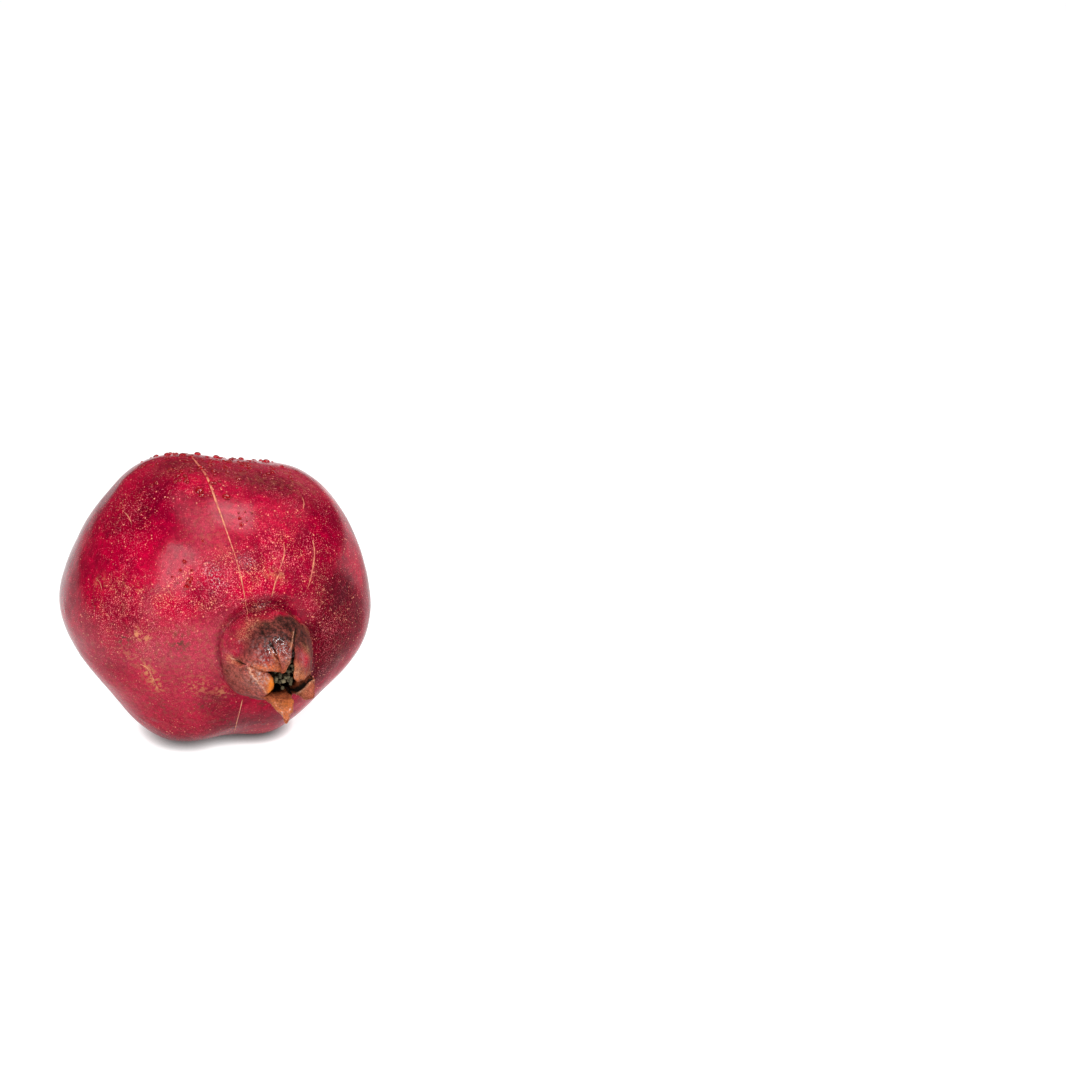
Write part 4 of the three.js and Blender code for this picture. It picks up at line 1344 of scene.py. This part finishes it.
def makeStamens():
    # Feet on a sunflower's spiral, a bowed thread up from each, and an anther with a waist across
    # its top. tips says how much of each tube is anther.
    rng = np.random.default_rng(stamens["seed"])
    grids, tips = [], []
    goldenAngle = math.radians(137.508)
    t = np.linspace(0.0, 1.0, 7)[:, None]
    s = 2.0 * t - 1.0
    roundness = np.sqrt(np.maximum(1.0 - s[:, 0] ** 2, 0.02)) * (1.0 - 0.25 * bell(s[:, 0], 0.3))
    for i in range(stamens["count"]):
        rho = stamens["spread"] * math.sqrt((i + 0.5) / stamens["count"])
        foot = ringPoints(goldenAngle * i, rho, stamens["footZ"])
        top = foot * np.array([0.82, 0.82, 1.0])
        top[2] = stamens["topZ"] - stamens["topFall"] * rho - rng.uniform(0.0, stamens["topSpread"])
        top[:2] = 0.85 * top[:2] + stamens["tipShift"] + rng.normal(0.0, 0.5, 2)
        bow = rng.normal(0.0, 0.5, 3) * np.array([1.0, 1.0, 0.2])
        path = blend(foot, top, t) + bow * np.sin(math.pi * t)
        grids.append(tubeGrid(path, stamens["filamentRadius"] * blend(1.3, 0.7, t[:, 0]), 5))
        heading = unit(rng.normal(0.0, 1.0, 3) + np.array([0.0, 0.0, 0.8]))
        core = top + heading * s * stamens["antherLength"] * rng.uniform(0.35, 0.6)
        grids.append(tubeGrid(core, stamens["antherRadius"] * rng.uniform(0.7, 1.15) * roundness, 8))
        tips += [0.0, 1.0]
    t = np.linspace(0.0, 1.0, 10)
    style = np.stack([0.4 * np.sin(3 * t), 0.3 * t, blend(stamens["footZ"], stamens["styleTop"], t)], -1)
    grids.append(tubeGrid(style, blend(*stamens["styleRadii"], t), 10))
    rho, height = np.array(stamens["cushion"]).T[..., None]
    grids.append(ringPoints(fullTurn(40)[None, :], rho, calyx["cupFloorZ"] + height))
    tips += [0.3, 0.0]
    points, faces = joinGrids(grids)
    piece = makePiece("dried_stamens", layDown(points), faces, makeDryStamen())
    counts = [2 + (len(grid) - 2) * grid.shape[1] for grid in grids]
    addValue(piece, "anther", np.repeat(tips, counts))
    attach(piece, "root")
    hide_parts("stamens")


makeStamens()
print("stamens made")

# Stub of the cut stalk
stalk = {
    "footZ": -40.6,
    # from the foot to the middle of the cut end: radius and distance from the foot
    "profile": [
        (0.001, 0.0), (2.2, 0.0), (2.55, 0.15), (2.62, 0.8), (2.5, 1.6), (2.52, 2.4), (2.7, 3.2),
        (2.95, 3.8), (3.08, 4.2), (3.0, 4.5), (2.8, 4.6), (2.0, 4.55), (1.2, 4.5), (0.5, 4.45),
        (0.001, 4.45),
    ],
    "barkEnd": 10,              # number of the profile's point where the cut starts
    "rows": 43,
    "columns": 64,
    "ridges": 9,
    "ridgeHeight": 0.12,
    "ridgeTwist": 0.6,          # radians for each mm
    "lumpHeight": 0.12,
    "barkLumps": (1.1, 31),
    "barkColours": [(70, 46, 30), (138, 104, 70)],
    "cutColours": [(188, 156, 112), (140, 104, 66)],
}


def makeStalkWood():
    material, tree = newMaterial("stalk_wood")
    tone = noise(objectPlace(tree, (1.0, 0.3, 1.0)), 900.0, 4.0, 0.65)
    rings = noise(objectPlace(tree), 1500.0, 2.0, 0.5)
    bark = twoTone(ramp(tone, 0.35, 0.65), stalk["barkColours"])
    cut = twoTone(ramp(rings, 0.4, 0.6), stalk["cutColours"])
    colour = mix(attribute(tree, "cut"), bark, cut)
    shader = addNode(tree, "BsdfPrincipled", {"Base Color": colour, "Roughness": 0.8})
    finish(tree, shader, tone, 0.0003, 0.7)
    return material


def makeStalk():
    # The profile turned round the axis, with twisted ridges and lumps of bark that stop at the cut
    steps = np.linspace(0, len(stalk["profile"]) - 1, stalk["rows"])
    rho, z = (np.interp(steps, np.arange(len(stalk["profile"])), line)[:, None]
              for line in np.array(stalk["profile"]).T)
    turn = fullTurn(stalk["columns"])[None, :]
    onBark = (steps < stalk["barkEnd"])[:, None]
    ridge = stalk["ridgeHeight"] * np.cos(stalk["ridges"] * turn + stalk["ridgeTwist"] * z) * onBark
    points = ringPoints(turn, rho + ridge, z)
    points[[0, -1], :, :2] = 0.0
    lump = stalk["lumpHeight"] * lumps(points, *stalk["barkLumps"]) * onBark
    points += lump[..., None] * unit(points * [1, 1, 0.2])
    corners, faces = closedGrid(points * np.array([1.0, -1.0, -1.0]) + [0.0, 0.0, stalk["footZ"]])
    piece = makePiece("stalk_stub", layDown(corners), faces, makeStalkWood())
    onCut = smoothStep(stalk["barkEnd"] - 1.2, stalk["barkEnd"], steps)[:, None]
    addValue(piece, "cut", poleRows(onCut * np.ones(stalk["columns"])))
    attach(piece, "root")
    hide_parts("stem_stub")


makeStalk()
print("stalk made")

# Floor and light
studio = {
    "floorSize": 12.0,
    "floorDrop": 0.0002,
    "floorGlow": 0.92,
    "floorAlbedo": 0.3,
    "shadowReach": 0.0035,
    "worldGrey": 0.06,
    "aim": (0.0, 0.0, 0.04),
    # softboxes: direction from the front (right is +), height angle, distance, size, radiance
    "boxes": [
        (-50, 27, 1.0, 0.46, 8.0),
        (86, 57, 1.0, 0.46, 6.4),
        (30, 49, 1.1, 0.12, 30.0),
        (0, 88, 1.4, 1.10, 1.8),
    ],
    # the same for lamps that light the skin and are not mirrored in it
    "fills": [
        (-2, 50, 1.2, 0.90, 5.2),
    ],
}


def grey(level):
    return (level, level, level, 1.0)


def makeFloor():
    # A white table that glows evenly, with a painted contact shadow: the glow is dimmed where something
    # stands close over it
    material, tree = newMaterial("floor")
    contactShadow = addNode(tree, "AmbientOcclusion", {"Distance": studio["shadowReach"]}, samples=8)
    shader = addNode(tree, "BsdfPrincipled", {
        "Base Color": grey(studio["floorAlbedo"]), "Roughness": 0.1,
        "Emission Color": grey(1.0), "Emission Strength": times(contactShadow.outputs["AO"], studio["floorGlow"]),
    })
    finish(tree, shader)
    corners = np.array([(-1, -1, 0), (1, -1, 0), (1, 1, 0), (-1, 1, 0)]) * studio["floorSize"] / 2.0
    corners = corners - [0, 0, studio["floorDrop"]]
    floor = makePiece("floor", corners, [(0, 1, 2, 3)], material, smooth=False)


def makeLights():
    # Square lamps that face the fruit. A lamp's power is pi times its area times its radiance.
    lamps = studio["boxes"] + studio["fills"]
    for number, (azimuth, height, distance, size, radiance) in enumerate(lamps):
        data = bpy.data.lights.new(f"softbox_{number}", "AREA")
        data.shape = "SQUARE"
        data.size = size
        data.energy = radiance * math.pi * size ** 2
        lamp = bpy.data.objects.new(data.name, data)
        lamp.visible_glossy = number < len(studio["boxes"])
        bpy.context.scene.collection.objects.link(lamp)
        a, e = math.radians(azimuth), math.radians(height)
        away = Vector((math.sin(a) * math.cos(e), -math.cos(a) * math.cos(e), math.sin(e)))
        lamp.location = Vector(studio["aim"]) + away * distance
        lamp.rotation_mode = "QUATERNION"
        lamp.rotation_quaternion = away.to_track_quat("Z", "Y")
    world = bpy.data.worlds.new("studio")
    world.use_nodes = True
    world.node_tree.nodes["Background"].inputs[0].default_value = grey(studio["worldGrey"])
    bpy.context.scene.world = world


makeFloor()
makeLights()
bpy.context.scene.view_settings.view_transform = "Standard"
print("floor and lights made")
